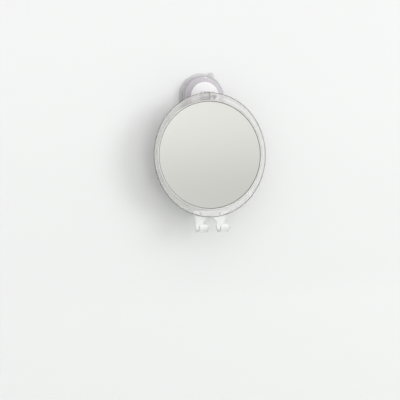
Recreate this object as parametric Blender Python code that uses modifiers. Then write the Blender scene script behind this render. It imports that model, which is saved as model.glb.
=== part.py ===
"""Shower mirror on a twist-lock suction mount, with a tilting head and a razor holder below.

Metres, +Z up. The origin is the point of the wall behind the suction cup's centre. The wall is the
plane y = 0, the object stands out of it towards -y, and the mirror faces -y. In the comments, "out"
is the distance from the wall.
It is modelled locked: the dial is turned home and the cup's centre is drawn off the wall.
"""

import math

import bmesh
import bpy
from mathutils import Matrix, Vector

# Fits
CLEARANCE = 0.0003
OVERRUN = 0.004
MERGE_DISTANCE = 0.00001

# Suction cup
CUP_RADIUS = 0.0285
CUP_EDGE_THICKNESS = 0.0009
CUP_LIP_THICKNESS = 0.0016
CUP_CONTACT_WIDTH = 0.0062
CUP_WEB = 0.0014
CUP_BOSS_WALL = 0.0018
CUP_BOSS_ROOF = 0.001
CUP_TAB_RADIUS = 0.004
CUP_TAB_REACH = 0.0038
CUP_TAB_THICKNESS = 0.0011
CUP_TAB_TURN = math.radians(66)

# Post and the two cross pins
POST_RADIUS = 0.0036
POST_FLAT_DEPTH = 0.0008
POST_FLANGE_RADIUS = 0.0068
POST_FLANGE_THICKNESS = 0.0014
PIN_RADIUS = 0.0008
PIN_COVER = 0.001

# Housing
HOUSING_RADIUS = 0.0249
HOUSING_WALL = 0.0016
HOUSING_PLATE = 0.0015
HOUSING_EDGE = 0.0005
COLLAR_WALL = 0.0014
HOUSING_RIBS = 12
HOUSING_RIB_WALL = 0.001

# Lock dial and its cover
CAM_RISE = 0.0025
CAM_TURN = math.radians(90)
CAM_LAND = math.radians(12)
CAM_STOP = math.radians(8)
RAMP_WIDTH = 0.0032
RIM_ABOVE_RAMP = 0.0003
DIAL_BASE_RADIUS = 0.0243
DIAL_FACE_RADIUS = 0.018
DIAL_PLATE = 0.0011
DIAL_WALL = 0.0017
GRIP_GROOVES = 56
GRIP_GROOVE_RADIUS = 0.0007
GRIP_GROOVE_DEPTH = 0.0004
COVER_RADIUS = 0.0174
COVER_THICKNESS = 0.0012
COVER_EDGE = 0.0008
COVER_DOME = 0.0028
COVER_LIP_WALL = 0.0011
COVER_LIP_DEPTH = 0.0012
COVER_HOLE_MARGIN = 0.0006

# Tilt pivot
KNUCKLE_RADIUS = 0.0053
PIVOT_GAP = 0.0009
ARM_KNUCKLE_WIDTH = 0.0079
ARM_WEB_HEIGHT = 0.0074
HUB_CAP = 0.001
HEAD_KNUCKLE_WIDTH = 0.0058
FRICTION_WASHER_RADIUS = 0.0047
FRICTION_WASHER_THICKNESS = 0.0008
SCREW_RADIUS = 0.0015
SCREW_HEAD_RADIUS = 0.0028
SCREW_HEAD_HEIGHT = 0.0018
SCREW_HEAD_EDGE = 0.0005
DRIVER_RADIUS = 0.0012
DRIVER_DEPTH = 0.001
WASHER_RADIUS = 0.0034
WASHER_THICKNESS = 0.0005
NUT_ACROSS_FLATS = 0.0055
NUT_THICKNESS = 0.0022
NOTCH_MARGIN = 0.0005

# Mirror head, seen from the front
MIRROR_DIAMETER = 0.127
MIRROR_THICKNESS = 0.002
MIRROR_EDGE = 0.0004
RING_OVERLAP = 0.001
SIDE_BAND = 0.00625
TOP_BAND = 0.0098
RING_ABOVE_PIVOT = 0.0033

# Front ring and rear shell
RING_CROWN = 0.0017
RING_INNER_EDGE = 0.0007
SKIRT_DEPTH = 0.0026
SKIRT_INSET = 0.0013
SKIRT_WALL = 0.0014
RING_RIB_WALL = 0.001
HEAD_DEPTH = 0.011
SHELL_WALL = 0.0018
SHELL_FLAT_SHARE = 0.82
SHELL_RIB_INSET = 0.002
SHELL_RIB_WALL = 0.002
SEAL_THICKNESS = 0.0006
SEAL_WIDTH = 0.003

# Razor holder
HOLDER_WIDTH = 0.0371
HOLDER_THICKNESS = 0.0023
HOLDER_DROP = 0.0085
HOLDER_FLARE = 0.0034
HOLDER_EDGE = 0.0004
TONGUE_CORNER = 0.0015
HOOK_RADIUS = 0.0076
HOOK_TIP = 0.0005
NOTCH_WIDTH = 0.0148
NOTCH_ARCH = 0.0065
NOTCH_BELOW_RING = 0.0007
PRONG_CORNER = 0.0025
PEG_RADIUS = 0.0012
PEG_DEPTH_BELOW_TOP = 0.003
PEG_SPREAD = 0.024

# Facets
HEAD_STEPS = 64
ROUND_STEPS = 48
SMALL_STEPS = 20
HOOK_STEPS = 12
FILLET_STEPS = 5
RAMP_STEPS = 8
SHARP_ANGLE = math.radians(35)

# Places worked out from the sizes above: distances out from the wall, radii, and places along the pivot
PIN_HOLE_RADIUS = PIN_RADIUS + CLEARANCE
BORE_RADIUS = POST_RADIUS + CLEARANCE
POCKET_RADIUS = POST_FLANGE_RADIUS + CLEARANCE
BOSS_RADIUS = POCKET_RADIUS + CUP_BOSS_WALL
COLLAR_RADIUS = BORE_RADIUS + COLLAR_WALL
RAMP_INNER_RADIUS = COLLAR_RADIUS + CLEARANCE
RAMP_OUTER_RADIUS = RAMP_INNER_RADIUS + RAMP_WIDTH
LIFT_PIN_REACH = RAMP_OUTER_RADIUS - CLEARANCE

FLANGE_OUT = CAM_RISE + CUP_WEB + CLEARANCE
FLANGE_TOP_OUT = FLANGE_OUT + POST_FLANGE_THICKNESS
POCKET_ROOF_OUT = FLANGE_TOP_OUT + CLEARANCE
BOSS_OUT = POCKET_ROOF_OUT + CUP_BOSS_ROOF
HOUSING_FOOT_OUT = CUP_LIP_THICKNESS + CLEARANCE
PLATE_OUT = BOSS_OUT + CLEARANCE
HOUSING_OUT = PLATE_OUT + HOUSING_PLATE
DIAL_OUT = HOUSING_OUT + CLEARANCE
RAMP_LOW_OUT = DIAL_OUT + DIAL_PLATE
RAMP_HIGH_OUT = RAMP_LOW_OUT + CAM_RISE
DIAL_RIM_OUT = RAMP_HIGH_OUT + RIM_ABOVE_RAMP
COVER_OUT = DIAL_RIM_OUT + CLEARANCE
LIFT_PIN_OUT = RAMP_HIGH_OUT + CLEARANCE + PIN_RADIUS
HUB_OUT = LIFT_PIN_OUT + PIN_RADIUS + CLEARANCE
ARM_PIN_OUT = HUB_OUT + PIN_COVER + PIN_HOLE_RADIUS
POST_END_OUT = ARM_PIN_OUT + PIN_HOLE_RADIUS + PIN_COVER
HUB_END_OUT = POST_END_OUT + CLEARANCE + HUB_CAP
PIVOT_OUT = HUB_END_OUT + PIVOT_GAP + KNUCKLE_RADIUS

MIRROR_BACK_OUT = PIVOT_OUT + KNUCKLE_RADIUS - CLEARANCE
MIRROR_FRONT_OUT = MIRROR_BACK_OUT + MIRROR_THICKNESS
LIP_OUT = MIRROR_FRONT_OUT + CLEARANCE
RING_FRONT_OUT = LIP_OUT + RING_CROWN
SKIRT_OUT = LIP_OUT - SKIRT_DEPTH
SHELL_RIM_OUT = SKIRT_OUT - CLEARANCE
SHELL_BACK_OUT = RING_FRONT_OUT - HEAD_DEPTH
SEAL_OUT = MIRROR_BACK_OUT - CLEARANCE - SEAL_THICKNESS
SHELL_RIB_OUT = SEAL_OUT - CLEARANCE

MIRROR_RADIUS = MIRROR_DIAMETER / 2
OPENING_RADIUS = MIRROR_RADIUS - RING_OVERLAP
RING_RIB_INNER = MIRROR_RADIUS + CLEARANCE
RING_RIB_OUTER = RING_RIB_INNER + RING_RIB_WALL
HEAD_HALF_WIDTH = OPENING_RADIUS + SIDE_BAND
HEAD_HALF_HEIGHT = OPENING_RADIUS + TOP_BAND
HEAD_DROP = HEAD_HALF_HEIGHT - RING_ABOVE_PIVOT
HEAD_BOTTOM_Z = -HEAD_DROP - HEAD_HALF_HEIGHT
SHELL_FLAT_RADIUS = MIRROR_RADIUS * SHELL_FLAT_SHARE
SHELL_RIB_OUTER = MIRROR_RADIUS - SHELL_RIB_INSET
SHELL_RIB_INNER = SHELL_RIB_OUTER - SHELL_RIB_WALL

KNUCKLE_X = FRICTION_WASHER_THICKNESS / 2 + CLEARANCE
ARM_SIDE_X = -KNUCKLE_X - ARM_KNUCKLE_WIDTH
NUT_INNER_X = ARM_SIDE_X + NUT_THICKNESS
HEAD_SIDE_X = KNUCKLE_X + HEAD_KNUCKLE_WIDTH
WASHER_X = HEAD_SIDE_X + CLEARANCE
SCREW_HEAD_X = WASHER_X + WASHER_THICKNESS + CLEARANCE
SCREW_END_X = SCREW_HEAD_X + SCREW_HEAD_HEIGHT
NOTCH_LEFT_X = ARM_SIDE_X - NOTCH_MARGIN
NOTCH_RIGHT_X = SCREW_END_X + NOTCH_MARGIN

TONGUE_TOP_Z = -HEAD_DROP - RING_RIB_OUTER - CLEARANCE
TONGUE_HALF_WIDTH = HOLDER_WIDTH / 2 + HOLDER_FLARE
PEG_Z = TONGUE_TOP_Z - PEG_DEPTH_BELOW_TOP
HOOK_TOP_Z = HEAD_BOTTOM_Z - HOLDER_DROP
HOOK_OUT = SKIRT_OUT + HOLDER_THICKNESS / 2 + HOOK_RADIUS
HOOK_INNER_RADIUS = HOOK_RADIUS - HOLDER_THICKNESS / 2
HOOK_OUTER_RADIUS = HOOK_RADIUS + HOLDER_THICKNESS / 2


def clear_scene():
    for thing in list(bpy.data.objects):
        bpy.data.objects.remove(thing, do_unlink=True)
    for mesh in list(bpy.data.meshes):
        bpy.data.meshes.remove(mesh)


def collection(name):
    group = bpy.data.collections.new(name)
    bpy.context.scene.collection.children.link(group)
    return group


def material(name, colour, roughness, metallic=0.0, clear=0.0):
    made = bpy.data.materials.new(name)
    made.use_nodes = True
    shader = made.node_tree.nodes["Principled BSDF"]
    shader.inputs["Base Color"].default_value = (*colour, 1.0)
    shader.inputs["Roughness"].default_value = roughness
    shader.inputs["Metallic"].default_value = metallic
    shader.inputs["Transmission Weight"].default_value = clear
    made.diffuse_color = (*colour, 1.0)
    return made


def add_object(name, mesh, group):
    made = bpy.data.objects.new(name, mesh)
    group.objects.link(made)
    return made


def hang(child, parent):
    """Makes one object follow another from where both stand."""
    child.parent = parent
    child.matrix_parent_inverse = parent.matrix_basis.inverted()


def combine(thing, other, operation):
    other.hide_render = True
    other.display_type = "WIRE"
    hang(other, thing)
    step = thing.modifiers.new(other.name, "BOOLEAN")
    step.operation = operation
    step.solver = "EXACT"
    step.object = other


def cut(thing, *others):
    for other in others:
        combine(thing, other, "DIFFERENCE")


def join(thing, *others):
    for other in others:
        combine(thing, other, "UNION")


def keep(thing, other):
    combine(thing, other, "INTERSECT")


def smooth(mesh):
    mesh.shade_smooth()
    mesh.set_sharp_from_angle(angle=SHARP_ANGLE)


def mesh_from(form, name):
    bmesh.ops.recalc_face_normals(form, faces=form.faces)
    mesh = bpy.data.meshes.new(name)
    form.to_mesh(mesh)
    form.free()
    smooth(mesh)
    return mesh


def turned(name, outline, steps, group, along="OUT"):
    """A turned solid. The outline is (radius, height) points down its outer side.

    It is closed where it leaves a bore.

    Heights run out from the wall, or along x for the pivot's pieces.
    """
    mesh = bpy.data.meshes.new(name)
    count = len(outline)
    edges = [(place, place + 1) for place in range(count - 1)]
    if outline[0][0] > 0:
        edges.append((count - 1, 0))
    mesh.from_pydata([(radius, 0, height) for radius, height in outline], edges, [])
    made = add_object(name, mesh, group)
    screw = made.modifiers.new("Turn", "SCREW")
    screw.axis = "Z"
    screw.steps = steps
    screw.render_steps = steps
    screw.use_merge_vertices = True
    screw.merge_threshold = MERGE_DISTANCE
    if along == "OUT":
        made.rotation_euler = (math.pi / 2, 0, 0)
    else:
        made.rotation_euler = (0, math.pi / 2, 0)
        made.location = (0, -PIVOT_OUT, 0)
    return made


def box(name, low, high, group):
    form = bmesh.new()
    bmesh.ops.create_cube(form, size=1)
    size = Vector(high) - Vector(low)
    middle = (Vector(high) + Vector(low)) / 2
    place = Matrix.Translation(middle) @ Matrix.Diagonal((*size, 1))
    bmesh.ops.transform(form, matrix=place, verts=form.verts)
    return add_object(name, mesh_from(form, name), group)


def add_bar(form, start, end, radius, steps):
    start = Vector(start)
    end = Vector(end)
    run = end - start
    turn = run.to_track_quat("Z", "Y").to_matrix().to_4x4()
    where = Matrix.Translation((start + end) / 2) @ turn
    bmesh.ops.create_cone(
        form, cap_ends=True, segments=steps, radius1=radius, radius2=radius, depth=run.length, matrix=where
    )


def bar(name, start, end, radius, steps, group):
    """A straight bar between two points, round or many-sided."""
    form = bmesh.new()
    add_bar(form, start, end, radius, steps)
    return add_object(name, mesh_from(form, name), group)


def flat_solid(name, outline, low, high, group, facing="FRONT"):
    """A filled outline given depth: (x, z) points from the front, or (out, z) points from the side."""
    curve = bpy.data.curves.new(name, "CURVE")
    curve.dimensions = "2D"
    curve.fill_mode = "BOTH"
    curve.extrude = (high - low) / 2
    spline = curve.splines.new("POLY")
    spline.points.add(len(outline) - 1)
    for knot, (across, up) in zip(spline.points, outline):
        knot.co = (across, up, 0, 1)
    spline.use_cyclic_u = True
    guide = bpy.data.objects.new(name, curve)
    group.objects.link(guide)
    form = bmesh.new()
    form.from_mesh(bpy.data.meshes.new_from_object(guide))
    bpy.data.objects.remove(guide, do_unlink=True)
    bmesh.ops.remove_doubles(form, verts=form.verts, dist=MERGE_DISTANCE)
    stand = Matrix.Rotation(math.pi / 2, 4, "X")
    if facing == "FRONT":
        where = Matrix.Translation((0, -(low + high) / 2, 0)) @ stand
    else:
        where = Matrix.Translation(((low + high) / 2, 0, 0)) @ Matrix.Rotation(-math.pi / 2, 4, "Z") @ stand
    bmesh.ops.transform(form, matrix=where, verts=form.verts)
    return add_object(name, mesh_from(form, name), group)


def arc(middle, radius_across, radius_up, first, last, steps):
    """Points along part of an ellipse."""
    points = []
    for step in range(steps + 1):
        turn = first + (last - first) * step / steps
        points.append((middle[0] + radius_across * math.cos(turn), middle[1] + radius_up * math.sin(turn)))
    return points


def arc_block(name, inner, outer, low, profile, group):
    """A block bent round the wall mount's axis. The profile is (turn, top) pairs, so its top can climb."""
    form = bmesh.new()
    loops = []
    for turn, top in profile:
        across = Vector((math.cos(turn), 0, math.sin(turn)))
        corners = ((inner, low), (outer, low), (outer, top), (inner, top))
        loops.append([form.verts.new(across * radius - Vector((0, out, 0))) for radius, out in corners])
    for first, second in zip(loops, loops[1:]):
        for side in range(len(first)):
            after = (side + 1) % len(first)
            form.faces.new((first[side], second[side], second[after], first[after]))
    form.faces.new(loops[0])
    form.faces.new(loops[-1])
    return add_object(name, mesh_from(form, name), group)


def head_outline(turn, inset):
    """A point of the oval outline in (x, z) about its centre, moved in square to it by the inset."""
    point = Vector((HEAD_HALF_WIDTH * math.cos(turn), HEAD_HALF_HEIGHT * math.sin(turn)))
    square = Vector((math.cos(turn) / HEAD_HALF_WIDTH, math.sin(turn) / HEAD_HALF_HEIGHT)).normalized()
    return point - square * inset


def head_loft(name, section, group):
    """Lofts a section of (radius, share, inset, out) points round the head, down its outer side.

    A share of 0 is the circle of that radius and 1 is the inset outline. A section that starts on the
    head's axis also ends there, and any other is a closed loop.
    """
    form = bmesh.new()
    turns = [2 * math.pi * step / HEAD_STEPS for step in range(HEAD_STEPS)]
    loops = []
    for radius, share, inset, out in section:
        if radius == 0:
            loops.append([form.verts.new(Vector((0, -out, -HEAD_DROP)))])
            continue
        loop = []
        for turn in turns:
            circle = Vector((radius * math.cos(turn), radius * math.sin(turn)))
            flat = circle.lerp(head_outline(turn, inset), share)
            loop.append(form.verts.new(Vector((flat.x, -out, flat.y - HEAD_DROP))))
        loops.append(loop)
    pairs = list(zip(loops, loops[1:]))
    if section[0][0] > 0:
        pairs.append((loops[-1], loops[0]))
    for first, second in pairs:
        for step in range(HEAD_STEPS):
            after = (step + 1) % HEAD_STEPS
            if len(first) == 1:
                corners = (first[0], second[step], second[after])
            elif len(second) == 1:
                corners = (first[step], second[0], first[after])
            else:
                corners = (first[step], second[step], second[after], first[after])
            form.faces.new(corners)
    return add_object(name, mesh_from(form, name), group)


def keyed_bar(name, low, high, radius, half_width, group):
    """A bar out from the wall with two flats."""
    made = bar(name, (0, -low, 0), (0, -high, 0), radius, ROUND_STEPS, group)
    for side, label in ((-1, "left"), (1, "right")):
        near = side * half_width
        far = side * (radius + OVERRUN)
        cut(
            made,
            box(
                f"{name}_{label}_flat",
                (min(near, far), -high - OVERRUN, -radius - OVERRUN),
                (max(near, far), -low + OVERRUN, radius + OVERRUN),
                group,
            ),
        )
    return made


def make_suction_cup(parts, tools):
    """Flat lip on the wall, centre drawn off it by the cam's rise, and a boss round the post's flange."""
    contact_radius = CUP_RADIUS - CUP_CONTACT_WIDTH
    outline = [
        (0, CAM_RISE + CUP_WEB),
        (POCKET_RADIUS, CAM_RISE + CUP_WEB),
        (POCKET_RADIUS, POCKET_ROOF_OUT),
        (BORE_RADIUS, POCKET_ROOF_OUT),
        (BORE_RADIUS, BOSS_OUT),
        (BOSS_RADIUS - CUP_BOSS_ROOF, BOSS_OUT),
        (BOSS_RADIUS, POCKET_ROOF_OUT),
        (BOSS_RADIUS, CAM_RISE + CUP_WEB),
        (contact_radius, CUP_LIP_THICKNESS),
        (HOUSING_RADIUS, CUP_LIP_THICKNESS),
        (CUP_RADIUS - CUP_EDGE_THICKNESS, CUP_EDGE_THICKNESS),
        (CUP_RADIUS, CUP_EDGE_THICKNESS / 2),
        (CUP_RADIUS - CUP_EDGE_THICKNESS / 2, 0),
        (contact_radius, 0),
        (BOSS_RADIUS, CAM_RISE),
        (0, CAM_RISE),
    ]
    cup = turned("suction_cup", outline, ROUND_STEPS, parts)
    middle = CUP_RADIUS + CUP_TAB_REACH - CUP_TAB_RADIUS
    tab_x = middle * math.cos(CUP_TAB_TURN)
    tab_z = middle * math.sin(CUP_TAB_TURN)
    lift = CUP_EDGE_THICKNESS / 4
    tab = bar(
        "cup_tab",
        (tab_x, -lift, tab_z),
        (tab_x, -lift - CUP_TAB_THICKNESS, tab_z),
        CUP_TAB_RADIUS,
        SMALL_STEPS,
        tools,
    )
    join(cup, tab)
    return cup


def make_mount_housing(parts, tools):
    """The cap that presses the cup's rim down. Its collar guides the post and is the dial's bearing."""
    inner = HOUSING_RADIUS - HOUSING_WALL
    outline = [
        (0, RAMP_LOW_OUT),
        (COLLAR_RADIUS, RAMP_LOW_OUT),
        (COLLAR_RADIUS, HOUSING_OUT),
        (HOUSING_RADIUS - HOUSING_EDGE, HOUSING_OUT),
        (HOUSING_RADIUS, HOUSING_OUT - HOUSING_EDGE),
        (HOUSING_RADIUS, HOUSING_FOOT_OUT),
        (inner, HOUSING_FOOT_OUT),
        (inner, PLATE_OUT),
        (0, PLATE_OUT),
    ]
    housing = turned("mount_housing", outline, ROUND_STEPS, parts)
    form = bmesh.new()
    rib_start = BOSS_RADIUS + CLEARANCE + CLEARANCE
    rib_end = inner + HOUSING_WALL / 2
    rib_top = PLATE_OUT + HOUSING_PLATE / 2
    size = Vector((rib_end - rib_start, rib_top - FLANGE_OUT, HOUSING_RIB_WALL, 1))
    middle = Vector(((rib_start + rib_end) / 2, -(rib_top + FLANGE_OUT) / 2, 0))
    for place in range(HOUSING_RIBS):
        turn = Matrix.Rotation(2 * math.pi * place / HOUSING_RIBS, 4, "Y")
        place_matrix = turn @ Matrix.Translation(middle) @ Matrix.Diagonal(size)
        bmesh.ops.create_cube(form, size=1, matrix=place_matrix)
    join(housing, add_object("housing_ribs", mesh_from(form, "housing_ribs"), tools))
    keyway = POST_RADIUS - POST_FLAT_DEPTH + CLEARANCE
    cut(
        housing,
        keyed_bar("housing_bore", PLATE_OUT - OVERRUN, RAMP_LOW_OUT + OVERRUN, BORE_RADIUS, keyway, tools),
    )
    return housing


def make_cup_post(parts, tools):
    outline = [
        (0, POST_END_OUT),
        (POST_RADIUS, POST_END_OUT),
        (POST_RADIUS, FLANGE_TOP_OUT),
        (POST_FLANGE_RADIUS, FLANGE_TOP_OUT),
        (POST_FLANGE_RADIUS, FLANGE_OUT),
        (0, FLANGE_OUT),
    ]
    post = turned("cup_post", outline, ROUND_STEPS, parts)
    reach = POST_RADIUS + OVERRUN
    near = POST_RADIUS - POST_FLAT_DEPTH
    for side, label in ((-1, "left"), (1, "right")):
        edges = sorted((side * near, side * reach))
        low = (edges[0], -POST_END_OUT - OVERRUN, -reach)
        high = (edges[1], -FLANGE_TOP_OUT, reach)
        cut(post, box(f"post_{label}_flat", low, high, tools))
    lift_hole = bar(
        "post_lift_hole",
        (-reach, -LIFT_PIN_OUT, 0),
        (reach, -LIFT_PIN_OUT, 0),
        PIN_HOLE_RADIUS,
        SMALL_STEPS,
        tools,
    )
    arm_hole = bar(
        "post_arm_hole",
        (0, -ARM_PIN_OUT, -reach),
        (0, -ARM_PIN_OUT, reach),
        PIN_HOLE_RADIUS,
        SMALL_STEPS,
        tools,
    )
    cut(post, lift_hole, arm_hole)
    return post


def make_lift_pin(parts):
    start = (-LIFT_PIN_REACH, -LIFT_PIN_OUT, 0)
    end = (LIFT_PIN_REACH, -LIFT_PIN_OUT, 0)
    return bar("lift_pin", start, end, PIN_RADIUS, SMALL_STEPS, parts)


def make_lock_dial(parts, tools):
    """Ribbed dial. Two helical ramps in its well lift the pin as it turns, and a stop ends each of them."""
    outline = [
        (RAMP_INNER_RADIUS, RAMP_LOW_OUT),
        (DIAL_FACE_RADIUS - DIAL_WALL, RAMP_LOW_OUT),
        (DIAL_FACE_RADIUS - DIAL_WALL, DIAL_RIM_OUT),
        (DIAL_FACE_RADIUS, DIAL_RIM_OUT),
        (DIAL_BASE_RADIUS, RAMP_LOW_OUT - DIAL_PLATE / 2),
        (DIAL_BASE_RADIUS, DIAL_OUT),
        (RAMP_INNER_RADIUS, DIAL_OUT),
    ]
    dial = turned("lock_dial", outline, ROUND_STEPS, parts)
    foot = DIAL_OUT + DIAL_PLATE / 2
    stop_height = PIN_RADIUS + PIN_RADIUS
    stop_inner = RAMP_INNER_RADIUS + CLEARANCE
    stop_outer = RAMP_OUTER_RADIUS - CLEARANCE
    for start, label in ((0, "first"), (math.pi, "second")):
        profile = []
        for step in range(RAMP_STEPS + 1):
            share = step / RAMP_STEPS
            profile.append((start - CAM_TURN * (1 - share), RAMP_LOW_OUT + CAM_RISE * share))
        profile.append((start + CAM_LAND + CAM_STOP / 2, RAMP_HIGH_OUT))
        ramp = arc_block(f"dial_{label}_ramp", RAMP_INNER_RADIUS, RAMP_OUTER_RADIUS, foot, profile, tools)
        high_stop = [
            (start + CAM_LAND, RAMP_HIGH_OUT + stop_height),
            (start + CAM_LAND + CAM_STOP, RAMP_HIGH_OUT + stop_height),
        ]
        low_stop = [
            (start - CAM_TURN - CAM_LAND - CAM_STOP, RAMP_LOW_OUT + stop_height),
            (start - CAM_TURN - CAM_LAND, RAMP_LOW_OUT + stop_height),
        ]
        join(
            dial,
            ramp,
            arc_block(f"dial_{label}_high_stop", stop_inner, stop_outer, foot, high_stop, tools),
            arc_block(f"dial_{label}_low_stop", stop_inner, stop_outer, foot, low_stop, tools),
        )
    form = bmesh.new()
    climb = DIAL_RIM_OUT - RAMP_LOW_OUT + DIAL_PLATE / 2
    slope = Vector((DIAL_FACE_RADIUS - DIAL_BASE_RADIUS, -climb, 0))
    run = slope.normalized()
    square = Vector((-run.y, run.x, 0))
    low_edge = Vector((DIAL_BASE_RADIUS, -RAMP_LOW_OUT + DIAL_PLATE / 2, 0))
    offset = square * (GRIP_GROOVE_RADIUS - GRIP_GROOVE_DEPTH)
    groove_start = low_edge + offset - run * OVERRUN
    groove_end = low_edge + slope + offset + run * OVERRUN
    for place in range(GRIP_GROOVES):
        turn = Matrix.Rotation(2 * math.pi * (place + 1 / 2) / GRIP_GROOVES, 4, "Y")
        add_bar(form, turn @ groove_start, turn @ groove_end, GRIP_GROOVE_RADIUS, RAMP_STEPS)
    cut(dial, add_object("dial_grip_grooves", mesh_from(form, "dial_grip_grooves"), tools))
    return dial


def make_dial_cover(parts):
    """Domed disc over the dial's well, with a lip that locates it inside the rim."""
    hole = COLLAR_RADIUS + COVER_HOLE_MARGIN
    lip_outer = DIAL_FACE_RADIUS - DIAL_WALL - CLEARANCE
    lip_inner = lip_outer - COVER_LIP_WALL

    def top(radius):
        return COVER_OUT + COVER_EDGE + COVER_DOME * (1 - (radius / COVER_RADIUS) ** 2)

    top_shares = (0.1, 0.3, 0.5, 0.68, 0.82, 0.93)
    under_shares = (0.75, 0.35)
    outline = [(hole, top(hole))]
    for share in top_shares:
        radius = hole + (COVER_RADIUS - hole) * share
        outline.append((radius, top(radius)))
    outline += [
        (COVER_RADIUS, COVER_OUT + COVER_EDGE),
        (COVER_RADIUS, COVER_OUT),
        (lip_outer, COVER_OUT),
        (lip_outer, COVER_OUT - COVER_LIP_DEPTH),
        (lip_inner, COVER_OUT - COVER_LIP_DEPTH),
        (lip_inner, top(lip_inner) - COVER_THICKNESS),
    ]
    for share in under_shares:
        radius = hole + (lip_inner - hole) * share
        outline.append((radius, top(radius) - COVER_THICKNESS))
    outline.append((hole, top(hole) - COVER_THICKNESS))
    return turned("dial_cover", outline, ROUND_STEPS, parts)


def make_hinge_arm(parts, tools):
    """Hub pinned on the post's end, and the fixed knuckle beside the head's."""
    hub = bar(
        "hinge_arm",
        (0, -HUB_OUT, 0),
        (0, -PIVOT_OUT + KNUCKLE_RADIUS / 2, 0),
        COLLAR_RADIUS,
        ROUND_STEPS,
        parts,
    )
    clear_side = box(
        "arm_head_space",
        (-KNUCKLE_X, -PIVOT_OUT - OVERRUN, -COLLAR_RADIUS - OVERRUN),
        (COLLAR_RADIUS + OVERRUN, -HUB_END_OUT, COLLAR_RADIUS + OVERRUN),
        tools,
    )
    cut(hub, clear_side)
    web = box(
        "arm_web",
        (ARM_SIDE_X + CLEARANCE, -PIVOT_OUT, -ARM_WEB_HEIGHT / 2),
        (-KNUCKLE_X - CLEARANCE, -HUB_END_OUT + HUB_CAP, ARM_WEB_HEIGHT / 2),
        tools,
    )
    knuckle = bar(
        "arm_knuckle",
        (ARM_SIDE_X, -PIVOT_OUT, 0),
        (-KNUCKLE_X, -PIVOT_OUT, 0),
        KNUCKLE_RADIUS,
        SMALL_STEPS,
        tools,
    )
    join(hub, web, knuckle)
    keyway = POST_RADIUS - POST_FLAT_DEPTH + CLEARANCE
    socket_start = HUB_OUT - OVERRUN
    socket_end = POST_END_OUT + CLEARANCE
    socket = keyed_bar("arm_socket", socket_start, socket_end, BORE_RADIUS, keyway, tools)
    reach = COLLAR_RADIUS + OVERRUN
    pin_hole = bar(
        "arm_pin_hole",
        (0, -ARM_PIN_OUT, -reach),
        (0, -ARM_PIN_OUT, reach),
        PIN_HOLE_RADIUS,
        SMALL_STEPS,
        tools,
    )
    screw_hole = bar(
        "arm_screw_hole",
        (ARM_SIDE_X - OVERRUN, -PIVOT_OUT, 0),
        (OVERRUN, -PIVOT_OUT, 0),
        SCREW_RADIUS + CLEARANCE,
        SMALL_STEPS,
        tools,
    )
    nut_pocket = bar(
        "arm_nut_pocket",
        (ARM_SIDE_X - OVERRUN, -PIVOT_OUT, 0),
        (NUT_INNER_X + CLEARANCE, -PIVOT_OUT, 0),
        NUT_ACROSS_FLATS / math.sqrt(3) + CLEARANCE + CLEARANCE,
        6,
        tools,
    )
    cut(hub, socket, pin_hole, screw_hole, nut_pocket)
    return hub


def make_arm_pin(parts):
    start = (0, -ARM_PIN_OUT, -COLLAR_RADIUS)
    end = (0, -ARM_PIN_OUT, COLLAR_RADIUS)
    return bar("arm_pin", start, end, PIN_RADIUS, SMALL_STEPS, parts)


def make_pivot_screw(parts, tools):
    outline = [
        (0, SCREW_END_X),
        (SCREW_HEAD_RADIUS - SCREW_HEAD_EDGE, SCREW_END_X),
        (SCREW_HEAD_RADIUS, SCREW_END_X - SCREW_HEAD_EDGE),
        (SCREW_HEAD_RADIUS, SCREW_HEAD_X),
        (SCREW_RADIUS, SCREW_HEAD_X),
        (SCREW_RADIUS, ARM_SIDE_X),
        (0, ARM_SIDE_X),
    ]
    screw = turned("pivot_screw", outline, SMALL_STEPS, parts, along="PIVOT")
    recess = bar(
        "screw_recess",
        (SCREW_END_X - DRIVER_DEPTH, -PIVOT_OUT, 0),
        (SCREW_END_X + OVERRUN, -PIVOT_OUT, 0),
        DRIVER_RADIUS,
        6,
        tools,
    )
    cut(screw, recess)
    return screw


def make_pivot_nut(parts, tools):
    start = (ARM_SIDE_X, -PIVOT_OUT, 0)
    end = (NUT_INNER_X, -PIVOT_OUT, 0)
    nut = bar("pivot_nut", start, end, NUT_ACROSS_FLATS / math.sqrt(3), 6, parts)
    bore = bar(
        "nut_bore",
        (ARM_SIDE_X - OVERRUN, -PIVOT_OUT, 0),
        (NUT_INNER_X + OVERRUN, -PIVOT_OUT, 0),
        SCREW_RADIUS + CLEARANCE,
        SMALL_STEPS,
        tools,
    )
    cut(nut, bore)
    return nut


def make_washer(name, radius, start_x, end_x, parts):
    inner = SCREW_RADIUS + CLEARANCE
    outline = [(inner, end_x), (radius, end_x), (radius, start_x), (inner, start_x)]
    return turned(name, outline, SMALL_STEPS, parts, along="PIVOT")


def make_mirror_plate(parts):
    section = [
        (0, 0, 0, MIRROR_FRONT_OUT),
        (MIRROR_RADIUS - MIRROR_EDGE, 0, 0, MIRROR_FRONT_OUT),
        (MIRROR_RADIUS, 0, 0, MIRROR_FRONT_OUT - MIRROR_EDGE),
        (MIRROR_RADIUS, 0, 0, MIRROR_BACK_OUT),
        (0, 0, 0, MIRROR_BACK_OUT),
    ]
    return head_loft("mirror_plate", section, parts)


def make_mirror_seal(parts):
    inner = SHELL_RIB_OUTER - SEAL_WIDTH
    top = SEAL_OUT + SEAL_THICKNESS
    section = [
        (inner, 0, 0, top),
        (SHELL_RIB_OUTER, 0, 0, top),
        (SHELL_RIB_OUTER, 0, 0, SEAL_OUT),
        (inner, 0, 0, SEAL_OUT),
    ]
    return head_loft("mirror_seal", section, parts)


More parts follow.
